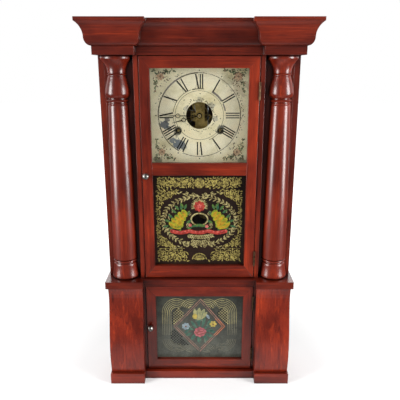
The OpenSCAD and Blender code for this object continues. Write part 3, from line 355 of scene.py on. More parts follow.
class Painting:
    """Flat shapes of one colour, drawn in millimetres across (x) and up (z) on a plane."""

    def __init__(self, mid_z=0.0):
        self.mesh = bmesh.new()
        self.mid_z = mid_z
        self.count = 0

    def _place(self, verts, x, z, turn, half_x, half_z):
        # Each shape lies a hair before the last one, so that they don't flicker where they cross
        step = (self.count % 9) * 0.0007 * MM
        self.count += 1
        matrix = (Matrix.Translation((x * MM, -step, (self.mid_z + z) * MM))
                  @ Matrix.Rotation(-math.radians(turn), 4, "Y")
                  @ Matrix.Diagonal((half_x * MM, 1, half_z * MM, 1))
                  @ Matrix.Rotation(math.radians(90), 4, "X"))
        bmesh.ops.transform(self.mesh, matrix=matrix, verts=verts)

    def oval(self, x, z, half_x, half_z=None, turn=0.0, point=0.0, segments=12):
        """An oval; with point it narrows to a leaf whose tips lie along its length."""
        made = bmesh.ops.create_circle(
            self.mesh, cap_ends=True, segments=segments, radius=1.0)["verts"]
        for vert in made:
            vert.co.y *= 1 - point * vert.co.x ** 2
        self._place(made, x, z, turn, half_x, half_z or half_x)

    def stroke(self, points, width, end_width=None):
        """A line of the given width through the points, which may taper to another width."""
        count = len(points)
        made = bmesh.ops.create_grid(
            self.mesh, x_segments=count - 1, y_segments=1, size=0.5)["verts"]
        end_width = width if end_width is None else end_width
        for vert in made:
            i = round((vert.co.x + 0.5) * (count - 1))
            before, after = points[max(0, i - 1)], points[min(count - 1, i + 1)]
            run = Vector((after[0] - before[0], after[1] - before[1]))
            if run.length == 0:
                raise ValueError("two points of a stroke are the same")
            side = Vector((-run.y, run.x)).normalized() * (1 if vert.co.y > 0 else -1)
            t = i / (count - 1)
            half = (width + (end_width - width) * t) / 2
            vert.co = (points[i][0] + side.x * half, points[i][1] + side.y * half, 0.0)
        self._place(made, 0, 0, 0, 1, 1)

    def arc(self, x, z, radius, width, start=0.0, end=360.0, squash=1.0):
        """A part of a ring, or of an oval where it is squashed."""
        steps = max(6, int(abs(end - start) / 4))
        turns = [math.radians(start + (end - start) * i / steps) for i in range(steps + 1)]
        self.stroke([(x + radius * math.cos(turn), z + squash * radius * math.sin(turn))
                     for turn in turns], width)

    def curl(self, x, z, radius, turn, hand=1, width=1.6, turns=1.25):
        """A scroll that winds inwards from its tail to an eye."""
        steps = 18
        points = []
        for i in range(steps + 1):
            t = i / steps
            angle = math.radians(turn + hand * 360 * turns * t)
            reach = radius * (1 - 0.8 * t)
            points.append((x + reach * math.cos(angle), z + reach * math.sin(angle)))
        self.stroke(points, width, width * 0.7)
        self.oval(*points[-1], width * 0.9, segments=8)

    def leaf(self, x, z, length, width, turn):
        """A leaf whose foot is at the given place and which grows the way it is turned."""
        way_x, way_z = polar(1, turn)
        self.oval(x + length / 2 * way_x, z + length / 2 * way_z,
                  length / 2, width / 2, turn, 0.55, 10)

    def bloom(self, x, z, radius, petals, turn=0.0, share=0.5):
        """A flower head: a ring of round petals about its middle."""
        for i in range(petals):
            a = math.radians(turn + 360 * i / petals)
            self.oval(x + radius * 0.6 * math.cos(a), z + radius * 0.6 * math.sin(a),
                      radius * share, radius * share * 0.8, math.degrees(a), 0.0, 10)

    def make(self, name, front, layer, material, body, slot):
        """Turn the shapes into a thin closed skin that lies on the surface at front."""
        for face in self.mesh.faces:
            face.normal_update()
            if face.normal.y > 0:
                face.normal_flip()
        bmesh.ops.translate(self.mesh, verts=self.mesh.verts, vec=(0, front + 0.01 * MM, 0))
        make_piece(name, self.mesh, material, body, skin=(0.04 + 0.03 * layer) * MM)


def lay(rows, front, body, slot, glossy=False):
    """Lay each row's painting on a surface in its own old paint.

    A row holds the painting, the piece's name and layer, the paint's two tones, its wear and
    fineness, and the paint's name where it isn't the piece's own.
    """
    for painting, name, layer, color, second, wear, size, *paint in rows:
        material = paint_material(*(paint or [name + "_paint"]), color, second, wear, glossy, size)
        painting.make(name, front, layer, material, body, slot)


def make_piece(name, mesh, material, body, skin=0.0):
    """Turn a bmesh into an object that rides on a body."""
    if not mesh.faces:
        raise ValueError(name + " has no faces")
    data = bpy.data.meshes.new(name)
    mesh.to_mesh(data)
    mesh.free()
    data.materials.append(material)
    piece = bpy.data.objects.new(name, data)
    bpy.context.scene.collection.objects.link(piece)
    if skin:
        solid = piece.modifiers.new("skin", "SOLIDIFY")
        solid.thickness = skin
        solid.offset = 1.0
    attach(piece, body)
    return piece


def dress(names, material):
    """Give CAD nodes a material."""
    for name in names:
        node = NODES[name]
        if not node.material_slots:
            raise ValueError(name + " has no material slot")
        for held in node.material_slots:
            held.link = "OBJECT"
            held.material = material


def front_of(node):
    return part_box(node)[0][1]


def middle_height(node):
    low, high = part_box(node)
    return (low[2] + high[2]) / 2


# Settings

def tint_setting(name, description, code):
    """A colour that the panel shows."""
    return FloatVectorProperty(name=name, description=description, subtype="COLOR",
                               default=linear(code), min=0, max=1)


class WoodSettings(bpy.types.PropertyGroup):
    """Colours and gloss of the varnished case."""
    dark: tint_setting("Dark streaks", "Colour of the darkest grain", "#350b06")
    middle: tint_setting("Middle tone", "Colour of most of the wood", "#641a09")
    bright: tint_setting("Bright streaks", "Colour of the brightest grain", "#8a2a0d")
    roughness: FloatProperty(
        name="Roughness", description="Roughness of the wood under its varnish",
        subtype="FACTOR", default=0.36, min=0.1, max=1)
    coat: FloatProperty(
        name="Varnish", description="Strength of the varnish",
        subtype="FACTOR", default=0.9, min=0, max=1)
    coat_roughness: FloatProperty(
        name="Varnish roughness", description="How blurred the varnish mirrors the room",
        subtype="FACTOR", default=0.25, min=0, max=1)


class DialSettings(bpy.types.PropertyGroup):
    """Colours and sizes of the dial's painting."""
    cream: tint_setting("Centre", "Colour inside the inner ring", "#f1e6c4")
    chapter: tint_setting("Chapter ring", "Colour behind the numerals", "#f5ecd0")
    # The edge is painted lighter, against the shade that the door's frame throws on the dial's
    # corners
    edge: tint_setting("Edge", "Colour of the corners", "#f8eecb")
    inner: FloatProperty(
        name="Numeral foot", description="Radius of the feet of the numerals",
        subtype="DISTANCE", unit="LENGTH", default=0.0575)
    outer: FloatProperty(
        name="Numeral head", description="Radius of the heads of the numerals",
        subtype="DISTANCE", unit="LENGTH", default=0.0872)
    thick: FloatProperty(
        name="Thick stroke", description="Width of the thick strokes of the numerals",
        subtype="DISTANCE", unit="LENGTH", default=0.0031)


class StageSettings(bpy.types.PropertyGroup):
    """Camera and lights."""
    place: FloatVectorProperty(
        name="Camera", description="Place of the camera",
        subtype="TRANSLATION", unit="LENGTH", default=(0.0013, -0.993, 0.7306))
    tilt: FloatProperty(
        name="Tilt", description="Angle between the camera and straight down",
        subtype="ANGLE", unit="ROTATION", default=math.radians(73.9))
    lens: FloatProperty(
        name="Lens", description="Focal length of the camera in millimetres",
        default=40.9, min=10, max=200)
    side_power: FloatProperty(
        name="Side lights", description="Power of each side light in watts",
        subtype="POWER", unit="POWER", default=41.0, min=0)
    back_power: FloatProperty(
        name="Back light", description="Power of the light behind the clock in watts",
        subtype="POWER", unit="POWER", default=14.0, min=0)
    sky: FloatProperty(
        name="Fill", description="Strength of the fill light from all round",
        default=0.5, min=0, max=3)


# Operators

class CaseOperator(bpy.types.Operator):
    """Give every wooden and metal CAD node its finish"""
    bl_idname = "clock.finish_case"
    bl_label = "Finish case and movement"

    def execute(self, context):
        wood = context.scene.clock_wood
        # Each part's tone is painted light besides its own: the cornice darker, the base and
        # pilasters lighter
        for name, grain, seed, tone, nodes in (
                ("upright", "Z", 0.0, 1.0, ("case_sides", "face_boards")),
                ("jambs", "Z", 0.9, 0.9, ("door_jambs",)),
                ("stiles", "Z", 0.37, 1.08, ("upper_door_stiles", "lower_door_stiles")),
                ("rails", "X", 0.61, 0.97, ("upper_door_rails", "lower_door_rails")),
                ("pilasters", "Z", 0.23, 1.3, ("pilasters",)),
                ("cornice", "X", 0.45, 0.74, ("frieze", "crown", "ledge")),
                ("base", "X", 0.52, 1.25, ("plinth_blocks", "base_rail"))):
            dress(nodes, wood_material("mahogany_" + name, grain, wood, seed, tone))
        dress(("back_board", "top_board", "bottom_board", "dial_cleats", "pulley_left",
               "pulley_right"), pine_material())
        # The movement's brass keeps some lacquer; the hinges' brass has gone dark and brown
        for finish, nodes in (
                (("aged_brass", "#d3b56c", "#86703a", 0.3, 45, None, 0.45), (
                    "front_plate", "back_plate", "plate_pillars", "suspension_stud",
                    "cannon_pinion", "minute_wheel", "hour_wheel", "center_wheel", "third_wheel",
                    "escape_wheel", "second_wheel", "time_great_wheel", "time_drum",
                    "strike_great_wheel", "strike_drum", "pin_wheel", "warning_wheel", "fly",
                    "pendulum_bob")),
                (("hinge_brass", "#6b5540", "#33231a", 0.36, 120), (
                    "case_hinge_leaves", "upper_hinge_leaves", "lower_hinge_leaves")),
                (("drawn_steel", "#a3a4a6", "#5a5650", 0.28, 140), (
                    "verge", "pendulum_rod", "hammer")),
                (("knob_steel", "#a9a7a2", "#5c5853", 0.3, 160), ("upper_knob", "lower_knob")),
                (("dark_hands", "#3a352e", "#1b1917", 0.4, 200), ("minute_hand", "hour_hand")),
                (("cast_iron", "#3a3937", "#1f1e1d", 0.5, 70, "#4a2c1c"), (
                    "bell", "bell_stand", "weight_left", "weight_right"))):
            dress(nodes, metal_material(*finish))
        return {"FINISHED"}


# Radius and height of the column's turning, in millimetres, each from its own lower end
FOOT = ((26.6, 0), (29.4, 0.9), (31.2, 2.6), (31.7, 5.3), (30.9, 9), (30.0, 13.5), (29.0, 18.5),
        (28.1, 24), (27.6, 29), (27.5, 32.6), (27.1, 34.8), (26.1, 36.6), (24.6, 37.8),
        (24.3, 38.2), (24.3, 39.3), (25.3, 39.6), (26.9, 40.3), (27.8, 41.5), (28.0, 42.6),
        (27.8, 43.7), (26.9, 44.9), (25.4, 45.4), (24.6, 45.9), (24.6, 47), (27.5, 47.4),
        (28.0, 48))
CAPITAL = ((20.5, 1.0), (20.9, 1.5), (21.3, 2.2), (21.5, 2.9), (21.3, 3.6), (20.9, 4.2),
           (19.8, 5.0), (19.8, 6.3), (20.5, 7.0), (21.8, 7.8), (22.7, 9.0), (22.9, 9.5),
           (22.7, 10.1), (21.8, 11.2), (20.4, 12.0), (19.7, 12.8), (19.7, 14), (21.6, 15.4),
           (23.6, 17.2), (25.4, 19.6), (26.4, 22), (26.8, 25), (26.6, 28.5), (26.0, 33),
           (25.0, 38), (23.7, 43), (22.3, 48), (20.9, 53), (19.8, 56.6), (19.5, 58.6),
           (18.9, 59.4), (18.9, 60.9), (19.7, 61.4), (20.4, 62), (20.8, 63), (20.4, 64),
           (19.7, 64.6), (18.9, 65.2), (18.9, 66.2), (19.5, 66.7), (19.6, 69), (20.0, 72),
           (20.9, 75.5), (22.3, 79.5), (24.4, 83.5), (27.1, 87.5), (30.2, 91), (32.0, 92.6),
           (32.6, 93.6), (33.0, 96.5), (32.6, 99), (31.0, 101))
# Radius of the shaft under the capital, in millimetres, and how many steps it rises in
NECK = 21.5
SHAFT_STEPS = 28
# The column at its widest, in metres
COLUMN_RADIUS = 0.033


class ColumnOperator(bpy.types.Operator):
    """Turn the two half columns smoothly in place of their CAD node"""
    bl_idname = "clock.turn_columns"
    bl_label = "Turn columns"

    def execute(self, context):
        low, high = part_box("columns")
        axis = high[0] - COLUMN_RADIUS
        height = (high[2] - low[2]) / MM
        cap = height - CAPITAL[-1][1]
        foot_radius, foot_height = FOOT[-1]
        shaft = []
        for i in range(1, SHAFT_STEPS):
            t = (1 - math.cos(math.pi * i / SHAFT_STEPS)) / 2
            # The shaft narrows upwards and swells by a millimetre on its way
            shaft.append((foot_radius + (NECK - foot_radius) * t + math.sin(math.pi * t),
                          foot_height + (cap - foot_height) * t))
        outline = [(0.0, 0.0), *FOOT, *shaft, *((r, cap + z) for r, z in CAPITAL), (0.0, height)]
        mesh = bmesh.new()
        for side in (-1, 1):
            half = bmesh.new()
            rim = [half.verts.new((r * MM, 0, z * MM)) for r, z in outline]
            edges = [half.edges.new(pair) for pair in zip(rim, rim[1:])]
            bmesh.ops.spin(half, geom=rim + edges, cent=(0, 0, 0), axis=(0, 0, 1),
                           angle=-math.pi, steps=40, use_merge=False)
            bmesh.ops.remove_doubles(half, verts=half.verts, dist=1e-6)
            bmesh.ops.holes_fill(half, edges=[e for e in half.edges if e.is_boundary], sides=0)
            bmesh.ops.triangulate(half, faces=[f for f in half.faces if len(f.verts) > 4])
            bmesh.ops.recalc_face_normals(half, faces=half.faces)
            # The spin gives its faces in another order on each run, so they are sorted
            half.verts.index_update()
            half.faces.sort(key=functools.partial(self.place_in_order, len(half.verts)))
            bmesh.ops.translate(half, verts=half.verts, vec=(side * axis, high[1], low[2]))
            data = bpy.data.meshes.new("half")
            half.to_mesh(data)
            half.free()
            mesh.from_mesh(data)
            bpy.data.meshes.remove(data)
        piece = make_piece("turned_columns", mesh, wood_material(
            "mahogany_columns", "Z", context.scene.clock_wood, 0.11, eased=False),
            "case")
        piece.data.shade_smooth()
        piece.data.set_sharp_from_angle(angle=math.radians(38))
        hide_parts("columns")
        return {"FINISHED"}

    def place_in_order(self, count, face):
        """A number of its own for each face, made from its three lowest vertices of the count."""
        first, second, third = sorted(vert.index for vert in face.verts)[:3]
        return (first * count + second) * count + third


# Place of the winding holes, right and left of the dial's middle, in millimetres
WINDING_X, WINDING_Z = 46, -33


class DialOperator(bpy.types.Operator):
    """Paint the dial: rings, minute dots, numerals and corner flowers"""
    bl_idname = "clock.paint_dial"
    bl_label = "Paint dial"

    def execute(self, context):
        dial = context.scene.clock_dial
        low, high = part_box("dial_plate")
        center = middle_height("dial_plate")
        front, mid = low[1], center / MM
        dress(("dial_plate",), dial_material(dial, center, (high[0] - low[0]) / 2))
        dress(("dial_glass",), glass_material())
        self.rings(front, mid)
        self.numerals(dial, front, mid)
        self.flowers(front, mid)
        hole_shade, collar = Painting(mid), Painting(mid)
        # A dark ring on the front plate round each winding arbor is painted shade inside the
        # winding holes
        for side in (-1, 1):
            hole_shade.arc(side * WINDING_X, WINDING_Z, 5.6, 6.2)
        lay(((hole_shade, "arbor_oil", 0, "#120e0a", "#1e1710", 0.0, 90, "old_oil"),),
            front_of("front_plate"), "case", "brass")
        collar.arc(0, 0, 2.9, 1.8)
        collar.make("hand_collar", front_of("minute_hand"), 0, metal_material(
            "collar_brass", "#e0cda6", "#b09a6c", 0.35, 90, bare=0.4), "minute_hand", "brass")
        return {"FINISHED"}

    def rings(self, front, mid):
        thin = Painting(mid)
        for radius, width, start, end in (
                (89.6, 2.6, 92, 152), (89.8, 1.4, 60, 92), (89.8, 2.0, 205, 240),
                (89.4, 2.5, 150, 206), (89.4, 2.0, -22, 24), (89.8, 1.2, 246, 318),
                (89.6, 1.1, 24, 60), (89.8, 1.2, 318, 342), (57.2, 1.2, 108, 172),
                (56.8, 2.4, 80, 106), (56.8, 1.1, 180, 222), (56.8, 1.1, 292, 340),
                (52.6, 0.9, 0, 360)):
            thin.arc(0, 0, radius, width, start, end)
        thick = Painting(mid)
        thick.arc(0, 0, 57.2, 4.2, 32, 62)
        thick.arc(0, 0, 56.8, 3.0, 10, 26)
        thick.arc(0, 0, 89.4, 3.2, 118, 148)
        dots = Painting(mid)
        for i in range(60):
            z, x = polar(91 if i % 5 else 94.6, 6 * i)
            dots.oval(x, z, 0.55 if i % 5 else 1.5, segments=8)
        pick = random.Random(21)
        for i in range(64):
            # Small strokes stand round the hole, thickest at its upper right
            turn = 360 * i / 64
            angle = math.radians(turn + pick.uniform(-2, 2))
            reach = pick.uniform(31, 35.5) + (4 if i % 7 == 0 else 0)
            full = -30 < (turn + 180) % 360 - 180 < 120
            dots.oval(reach * math.cos(angle), reach * math.sin(angle),
                      pick.uniform(1.5, 2.6) if full else pick.uniform(0.7, 1.5), 0.8,
                      math.degrees(angle) + pick.uniform(-40, 40), 0.4, 8)
        for angle in (45, 88, 135, 180, 225, 300, 352):
            dots.oval(*polar(46.5, angle), 2.0, 1.0, angle + 60, 0.5, 8)
        for side in (-1, 1):
            dots.arc(side * WINDING_X, WINDING_Z, 6.4, 1.9)
            dots.arc(side * WINDING_X, WINDING_Z, 8.6, 0.6, 20, 150)
        lay(((thin, "dial_rings", 0, "#55503f", "#8a836c", 0.40, 240, "ring_paint"),
             (thick, "dial_worn_ring", 1, "#77706b", "#958c82", 0.32, 300, "worn_ring_paint"),
             (dots, "dial_dots", 1, "#3d3a2c", "#5d5948", 0.40, 260, "dot_paint")),
            front, "case", "dial_paint")

    def numerals(self, dial, front, mid):
        names = ("XII", "I", "II", "III", "IIII", "V", "VI", "VII", "VIII", "IX", "X", "XI")
        widths = {"I": 4.9, "V": 8.6, "X": 8.8}
        serif, slim = 0.4, 0.6
        inner, outer, thick = dial.inner / MM, dial.outer / MM, dial.thick / MM
        black, hair, faded = (Painting(mid) for _ in range(3))
        for hour, name in enumerate(names):
            turn = math.radians(30 * hour)
            up = Vector((math.sin(turn), math.cos(turn)))
            across = Vector((math.cos(turn), -math.sin(turn)))

            def at(x, r):
                place = across * x + up * r
                return (place.x, place.y)

            bold = faded if name == "III" else black
            start = -sum(widths[c] for c in name) / 2
            for letter in name:
                width = widths[letter]
                left, right, middle = start + 1.3, start + width - 1.3, start + width / 2
                if letter == "I":
                    bold.stroke([at(middle, inner), at(middle, outer)], thick * 0.86)
                    for reach in (inner + 0.2, outer - 0.2):
                        hair.stroke([at(middle - 2.1, reach), at(middle + 2.1, reach)], serif)
                elif letter == "V":
                    bold.stroke([at(left, outer), at(middle, inner)], thick * 1.05, thick * 0.8)
                    hair.stroke([at(right, outer), at(middle, inner)], slim)
                    for x, half in ((left, 2), (right, 1.6)):
                        hair.stroke([at(x - half, outer - 0.2), at(x + half, outer - 0.2)], serif)
                else:
                    bold.stroke([at(left, outer), at(right, inner)], thick)
                    hair.stroke([at(right, outer), at(left, inner)], slim)
                    for x, reach in ((left, outer), (right, outer), (left, inner), (right, inner)):
                        hair.stroke([at(x - 1.7, reach - 0.1), at(x + 1.7, reach - 0.1)], serif)
                start += width
        lay(((black, "dial_numerals", 2, "#1a1813", "#35322a", 0.34, 260, "numeral_black"),
             (hair, "dial_hairlines", 1, "#3a362c", "#6a6452", 0.46, 300, "hairline_black"),
             (faded, "dial_faded_numeral", 2, "#5f594c", "#7c7565", 0.36, 260, "numeral_faded")),
            front, "case", "dial_paint")

    def flowers(self, front, mid):
        pick = random.Random(12)
        stems, leaves, roses, buds, hearts = (Painting(mid) for _ in range(5))
        for side_x in (-1, 1):
            for side_z in (-1, 1):
                full = side_x > 0 and side_z > 0

                def at(x, z):
                    return (side_x * x, side_z * z)

                head = at(83, 82 if side_z > 0 else 80)
                for end, bend in (((95, 52), 9), ((54, 94), -9), ((97, 96), 3), ((70, 95), -5),
                                  ((96, 68), 5)):
                    tip = at(*end)
                    points = []
                    for i in range(9):
                        t = i / 8
                        points.append((
                            head[0] + (tip[0] - head[0]) * t
                            + side_x * bend * math.sin(math.pi * t) * 0.6,
                            head[1] + (tip[1] - head[1]) * t
                            + side_z * bend * math.sin(math.pi * t) * -0.6))
                    stems.stroke(points, 0.7, 0.35)
                    for place in points[1:]:
                        leaves.leaf(*place, pick.uniform(4, 7.5), pick.uniform(1.9, 3.2),
                                    pick.uniform(0, 360))
                    buds.bloom(*tip, pick.uniform(1.8, 2.9), 4, pick.uniform(0, 90))
                roses.bloom(*head, 9.5 if full else 8, 6, pick.uniform(0, 60), 0.46)
                roses.oval(*head, 3.4, segments=10)
                hearts.bloom(*head, 2.6, 5, pick.uniform(0, 60), 0.4)
                for _ in range(90 if full else 52):
                    a = math.radians(pick.uniform(0, 360))
                    reach = pick.uniform(7, 22)
                    x, z = head[0] + reach * math.cos(a), head[1] + reach * math.sin(a)
                    if math.hypot(x, z) > 97 and max(abs(x), abs(z)) < 98:
                        hearts.oval(x, z, pick.uniform(0.8, 2.2), pick.uniform(0.6, 1.2),
                                    pick.uniform(0, 180), segments=7)
        # Sprigs follow the ring on the right, and one stands at the upper left
        for first, last, reach in ((-24, 38, 94.5), (150, 166, 94), (112, 124, 97)):
            for k in range(int((last - first) / 2.2)):
                a = math.radians(first + 2.2 * k + pick.uniform(-0.5, 0.5))
                r = reach + pick.uniform(-1.8, 2.6)
                (hearts if k % 3 else leaves).leaf(
                    r * math.cos(a), r * math.sin(a), pick.uniform(2, 4.2),
                    pick.uniform(1.2, 2.4), pick.uniform(0, 360))
        lay(((stems, "dial_stems", 0, "#4c5138", "#7c7a58", 0.42, 260),
             (leaves, "dial_leaves", 1, "#45583c", "#84906a", 0.42, 260),
             (roses, "dial_roses", 2, "#c79a7d", "#d8c3a0", 0.40, 260),
             (buds, "dial_buds", 3, "#6d7c5c", "#a57f65", 0.42, 260),
             (hearts, "dial_flower_hearts", 4, "#4a443a", "#83654e", 0.42, 260)),
            front, "case", "dial_paint")


def swag(painting, x0, z0, x1, z1, drop, count, length):
    """Leaves set along a hanging line."""
    for i in range(count):
        t = (i + 0.5) / count
        x = x0 + (x1 - x0) * t
        z = z0 + (z1 - z0) * t - drop * math.sin(math.pi * t)
        slope = math.degrees(math.atan2(
            (z1 - z0) - drop * math.pi * math.cos(math.pi * t), x1 - x0))
        for lean in (-38, 38):
            painting.leaf(x, z, length, length * 0.42, slope + lean)


def leaf_field(painting, pick, across, up, step, inside):
    """Cover a part of the plane with leaves set on a loose grid, leaving dark gaps."""
    for i in range(int((across[1] - across[0]) / step) + 1):
        for k in range(int((up[1] - up[0]) / step) + 1):
            x = across[0] + step * i + pick.uniform(-0.3, 0.3) * step
            z = up[0] + step * (k + 0.5 * (i % 2)) + pick.uniform(-0.3, 0.3) * step
            turn = pick.uniform(0, 360)
            if inside(x, z):
                back_x, back_z = polar(0.7 * step, turn)
                painting.leaf(x - back_x, z - back_z, step * pick.uniform(1.2, 1.65),
                              step * pick.uniform(0.5, 0.72), turn)


# The clear oval of the middle tablet: its height above the middle in millimetres, and half its
# width and height in metres
WINDOW_Z = 3
WINDOW_HALF = (0.0165, 0.0122)


class TabletOperator(bpy.types.Operator):
    """Paint the middle tablet: gilt scroll bands, leaf wreath and fruit round the window"""
    bl_idname = "clock.paint_tablet"
    bl_label = "Paint middle tablet"

    def execute(self, context):
        front = front_of("tablet_glass")
        mid = middle_height("tablet_glass") / MM
        low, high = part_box("tablet_glass")
        dress(("tablet_glass",), painted_glass(
            "tablet_ground", "#190f0a", "#21140d", low[2], high[2],
            (0.0, (mid + WINDOW_Z) * MM, *WINDOW_HALF)))
        gold, line, light = Painting(mid), Painting(mid), Painting(mid)
        self.bands(gold, line)
        self.corners(gold, light)
        self.wreath(light)
        lay(((gold, "tablet_gilding", 0, "#988b4a", "#4f4422", 0.40, 150, "tablet_gold"),
             (line, "tablet_lines", 1, "#2c2416", "#4c4122", 0.30, 220, "tablet_dark_lines"),
             (light, "tablet_wreath", 1, "#9d9262", "#5d5230", 0.40, 150, "tablet_wreath_gold")),
            front, "upper_door", "painted_glass", True)
        self.middle(front, mid)
        return {"FINISHED"}

    def bands(self, gold, line):
        pick = random.Random(5)
        # Upper band: a rosette between mirrored scrolls and leaves
        high, foot = 88, -97
        leaf_field(gold, pick, (-93, 93), (78, 98), 4.9, lambda x, z: abs(x) > 13)
        for side in (-1, 1):
            for i in range(6):
                gold.curl(side * (19 + 14 * i), high + (3 if i % 2 else -3), 5.8,
                          90 + side * 60 * (i % 3), side if i % 2 else -side, 1.9)
            for i in range(3):
                gold.bloom(side * (33 + 24 * i), high, 5.2, 6, 15 * i, 0.5)
                line.arc(side * (33 + 24 * i), high, 2.4, 0.6)
        gold.bloom(0, high, 12, 10, 0, 0.42)
        gold.oval(0, high, 6.5, segments=14)
        line.arc(0, high, 7.2, 0.8)
        line.arc(0, high, 3.6, 0.7)
        for k in range(10):
            ends = [polar(radius, 36 * k + 18) for radius in (8, 13)]
            line.stroke([(x, high + z) for x, z in ends], 0.8)
        # Lower band: leaves about an arched shell
        leaf_field(gold, pick, (-94, 94), (-98, -72), 4.9,
                   lambda x, z: abs(x) > 24 + 0.5 * (z + 98) or (z < foot and abs(x) > 19))
        for side in (-1, 1):
            gold.curl(side * 36, -84, 10, 180 if side > 0 else 0, -side, 2.2, 0.9)
            gold.stroke([(side * 94, -68), (side * 34, -68)], 0.9)
            for i in range(4):
                gold.curl(side * (50 + 13 * i), -86 + (3 if i % 2 else -3), 5.6,
                          90 - side * 80 * (i % 2), side if i % 2 else -side, 1.9)
        for k in range(9):
            gold.leaf(0, foot, 15, 4.2, 18 + 18 * k)
        gold.arc(0, foot, 16.5, 2.0, 5, 175)
        line.arc(0, foot, 12, 0.7, 10, 170)
        line.arc(0, foot, 7, 0.7, 10, 170)

    def corners(self, gold, light):
        pick = random.Random(9)
        # Leaves fill each corner outside the oval and run down both sides
        leaf_field(gold, pick, (-95, 95), (-62, 70), 4.7,
                   lambda x, z: math.hypot(x / 96, (z - 1) / 71) > 1.02 and abs(x) > 44)
        leaf_field(gold, pick, (89, 95), (-30, 30), 4.7, lambda x, z: True)
        leaf_field(gold, pick, (-95, -89), (-30, 30), 4.7, lambda x, z: True)
        for side_x in (-1, 1):
            for side_z in (-1, 1):
                for i in range(3):
                    gold.curl(side_x * (86 - 12 * i), side_z * (52 + 5.5 * i), 6,
                              90 * i, side_x * side_z, 1.9)
                # Loose sprays reach in from the corners over the dark ground
                for i in range(5):
                    light.leaf(side_x * (52 - 7 * i), side_z * (66 - 1.2 * i), 8, 3,
                               90 + side_x * side_z * (60 if i % 2 else 110))

    def wreath(self, light):
        pick = random.Random(3)
        count, half_x, half_z = 52, 83, 58
        for i in range(count):
            turn = math.radians(360 * i / count)
            x, z = half_x * math.cos(turn), half_z * math.sin(turn) - 1
            along = math.degrees(math.atan2(half_z * math.cos(turn), -half_x * math.sin(turn)))
            for lean in (40, -40):
                light.leaf(x, z, pick.uniform(7.5, 11), pick.uniform(2.8, 4),
                           along + lean + pick.uniform(-14, 14))
            if i % 4 == 0:
                light.oval(x * 0.94, z * 0.94, 1.7, segments=8)
        light.arc(0, -1, half_x, 0.9, squash=half_z / half_x)
        for side in (-1, 1):
            for x, z, r in ((30, 63, 5), (14, 61, 5.6), (14, -60, 5.6), (29, -57, 5)):
                light.curl(side * x, z, r, 90 if x > 15 else -90, side if x > 15 else -side, 1.6)

    def middle(self, front, mid):
        """Fruit, flowers and a garland stand round the clear window."""
        trim, fruit, ripe, green, red, pink = (Painting(mid) for _ in range(6))
        trim.arc(0, WINDOW_Z, 18.8, 3.2, squash=14.4 / 18.8)
        for k in range(17):
            trim.leaf(0, 34, 20, 3.8, -18 + 13.5 * k)
        for side in (-1, 1):
            trim.curl(side * 22, 17, 5.5, 90, -side, 1.6)
            trim.curl(side * 25, -10, 5.0, -90, side, 1.6)
            # A long heap of pears, green at its top and ripe lower down, on each side
            for x, z, long, wide, turn in (
                    (34, 17, 18, 11, 60), (40, 10, 24, 12, 52), (46, 3, 26, 13, 47),
                    (53, -4, 26, 13, 43), (60, -11, 22, 11, 38), (44, -7, 20, 10, 60),
                    (51, -15, 18, 9, 20)):
                turn = turn if side > 0 else 180 - turn
                fruit.oval(side * x, z, long / 2 + 1, wide / 2 + 1, turn, 0.1, 16)
                ripe.oval(side * (x + 1), z - 1.5, long / 2.3, wide / 3.4, turn, 0.1, 12)
            for x, z, turn in ((40, 24, 80), (34, 26, 110), (46, 25, 50), (52, 18, 35),
                               (66, -3, 20), (70, -12, -15), (30, -6, 150), (60, 6, 40),
                               (42, -20, -60), (58, -22, -40), (30, 12, 130), (36, 30, 60)):
                green.leaf(side * x, z, 14, 6, turn if side > 0 else 180 - turn)
            for x, z, turn in ((64, 8, 60), (68, 1, 75), (62, 18, 100), (56, 26, 130),
                               (30, -16, 200), (66, -20, 0)):
                trim.leaf(side * x, z, 11, 2.8, turn if side > 0 else 180 - turn)
        # A red flower stands over the window
        red.bloom(0, 34, 13, 8, 90, 0.42)
        red.oval(0, 34, 7, segments=12)
        pink.bloom(0, 34, 5.5, 5, 90, 0.4)
        # Red garland in three falls
        for x0, x1 in ((-65, -23), (-23, 20), (20, 61)):
            for i in range(14):
                t = (i + 0.5) / 14
                x, sag = x0 + (x1 - x0) * t, 4 * math.sin(math.pi * t)
                red.oval(x, -25 - sag, 4.4, 4.8, 20 * i, 0, 10)
                if i % 3 == 1:
                    pink.oval(x, -23.5 - sag, 2.4, 1.2, 0, 0, 8)
        for x in (-65, -23, 20, 61):
            for turn in (50, 90, 130, 230, 310):
                green.leaf(x, -22, 8, 3, turn)
        for k in range(11):
            green.leaf(-20 + 4 * k, -16, 9, 3.8, 30 + 12 * k)
        pink.bloom(17, -14, 4, 5, 0, 0.5)
        pink.bloom(-21, -11, 3.6, 5, 20, 0.5)
        swag(trim, -30, -36, 30, -36, 4, 12, 8)
        swag(trim, -22, -48, 22, -48, 4, 9, 7)
        lay(((trim, "tablet_trim", 2, "#9d9365", "#5f5430", 0.40, 150),
             (green, "tablet_greens", 3, "#214a35", "#4c6424", 0.40, 150),
             (fruit, "tablet_fruit", 4, "#8f8a20", "#556a1c", 0.36, 150),
             (ripe, "tablet_fruit_cheeks", 5, "#a8801a", "#7a5f16", 0.44, 150),
             (red, "tablet_garland", 4, "#a03a2e", "#6c1c17", 0.36, 150),
             (pink, "tablet_blossoms", 5, "#b45f55", "#93393a", 0.38, 150)),
            front, "upper_door", "painted_glass", True)


# Corners of the diamond of the lower tablet, from its middle, in millimetres
DIAMOND = ((3, 73), (61, 0), (1, -70), (-62, 0))
# Half the width and height that its surroundings keep clear of
DIAMOND_HALF = (62, 71)
# The ringed lobes of each side: their middles, and the gap from ring to ring
UPPER_LOBE, TOP_LOBE, RING_GAP = (55, 36), (20, 45), 4.1


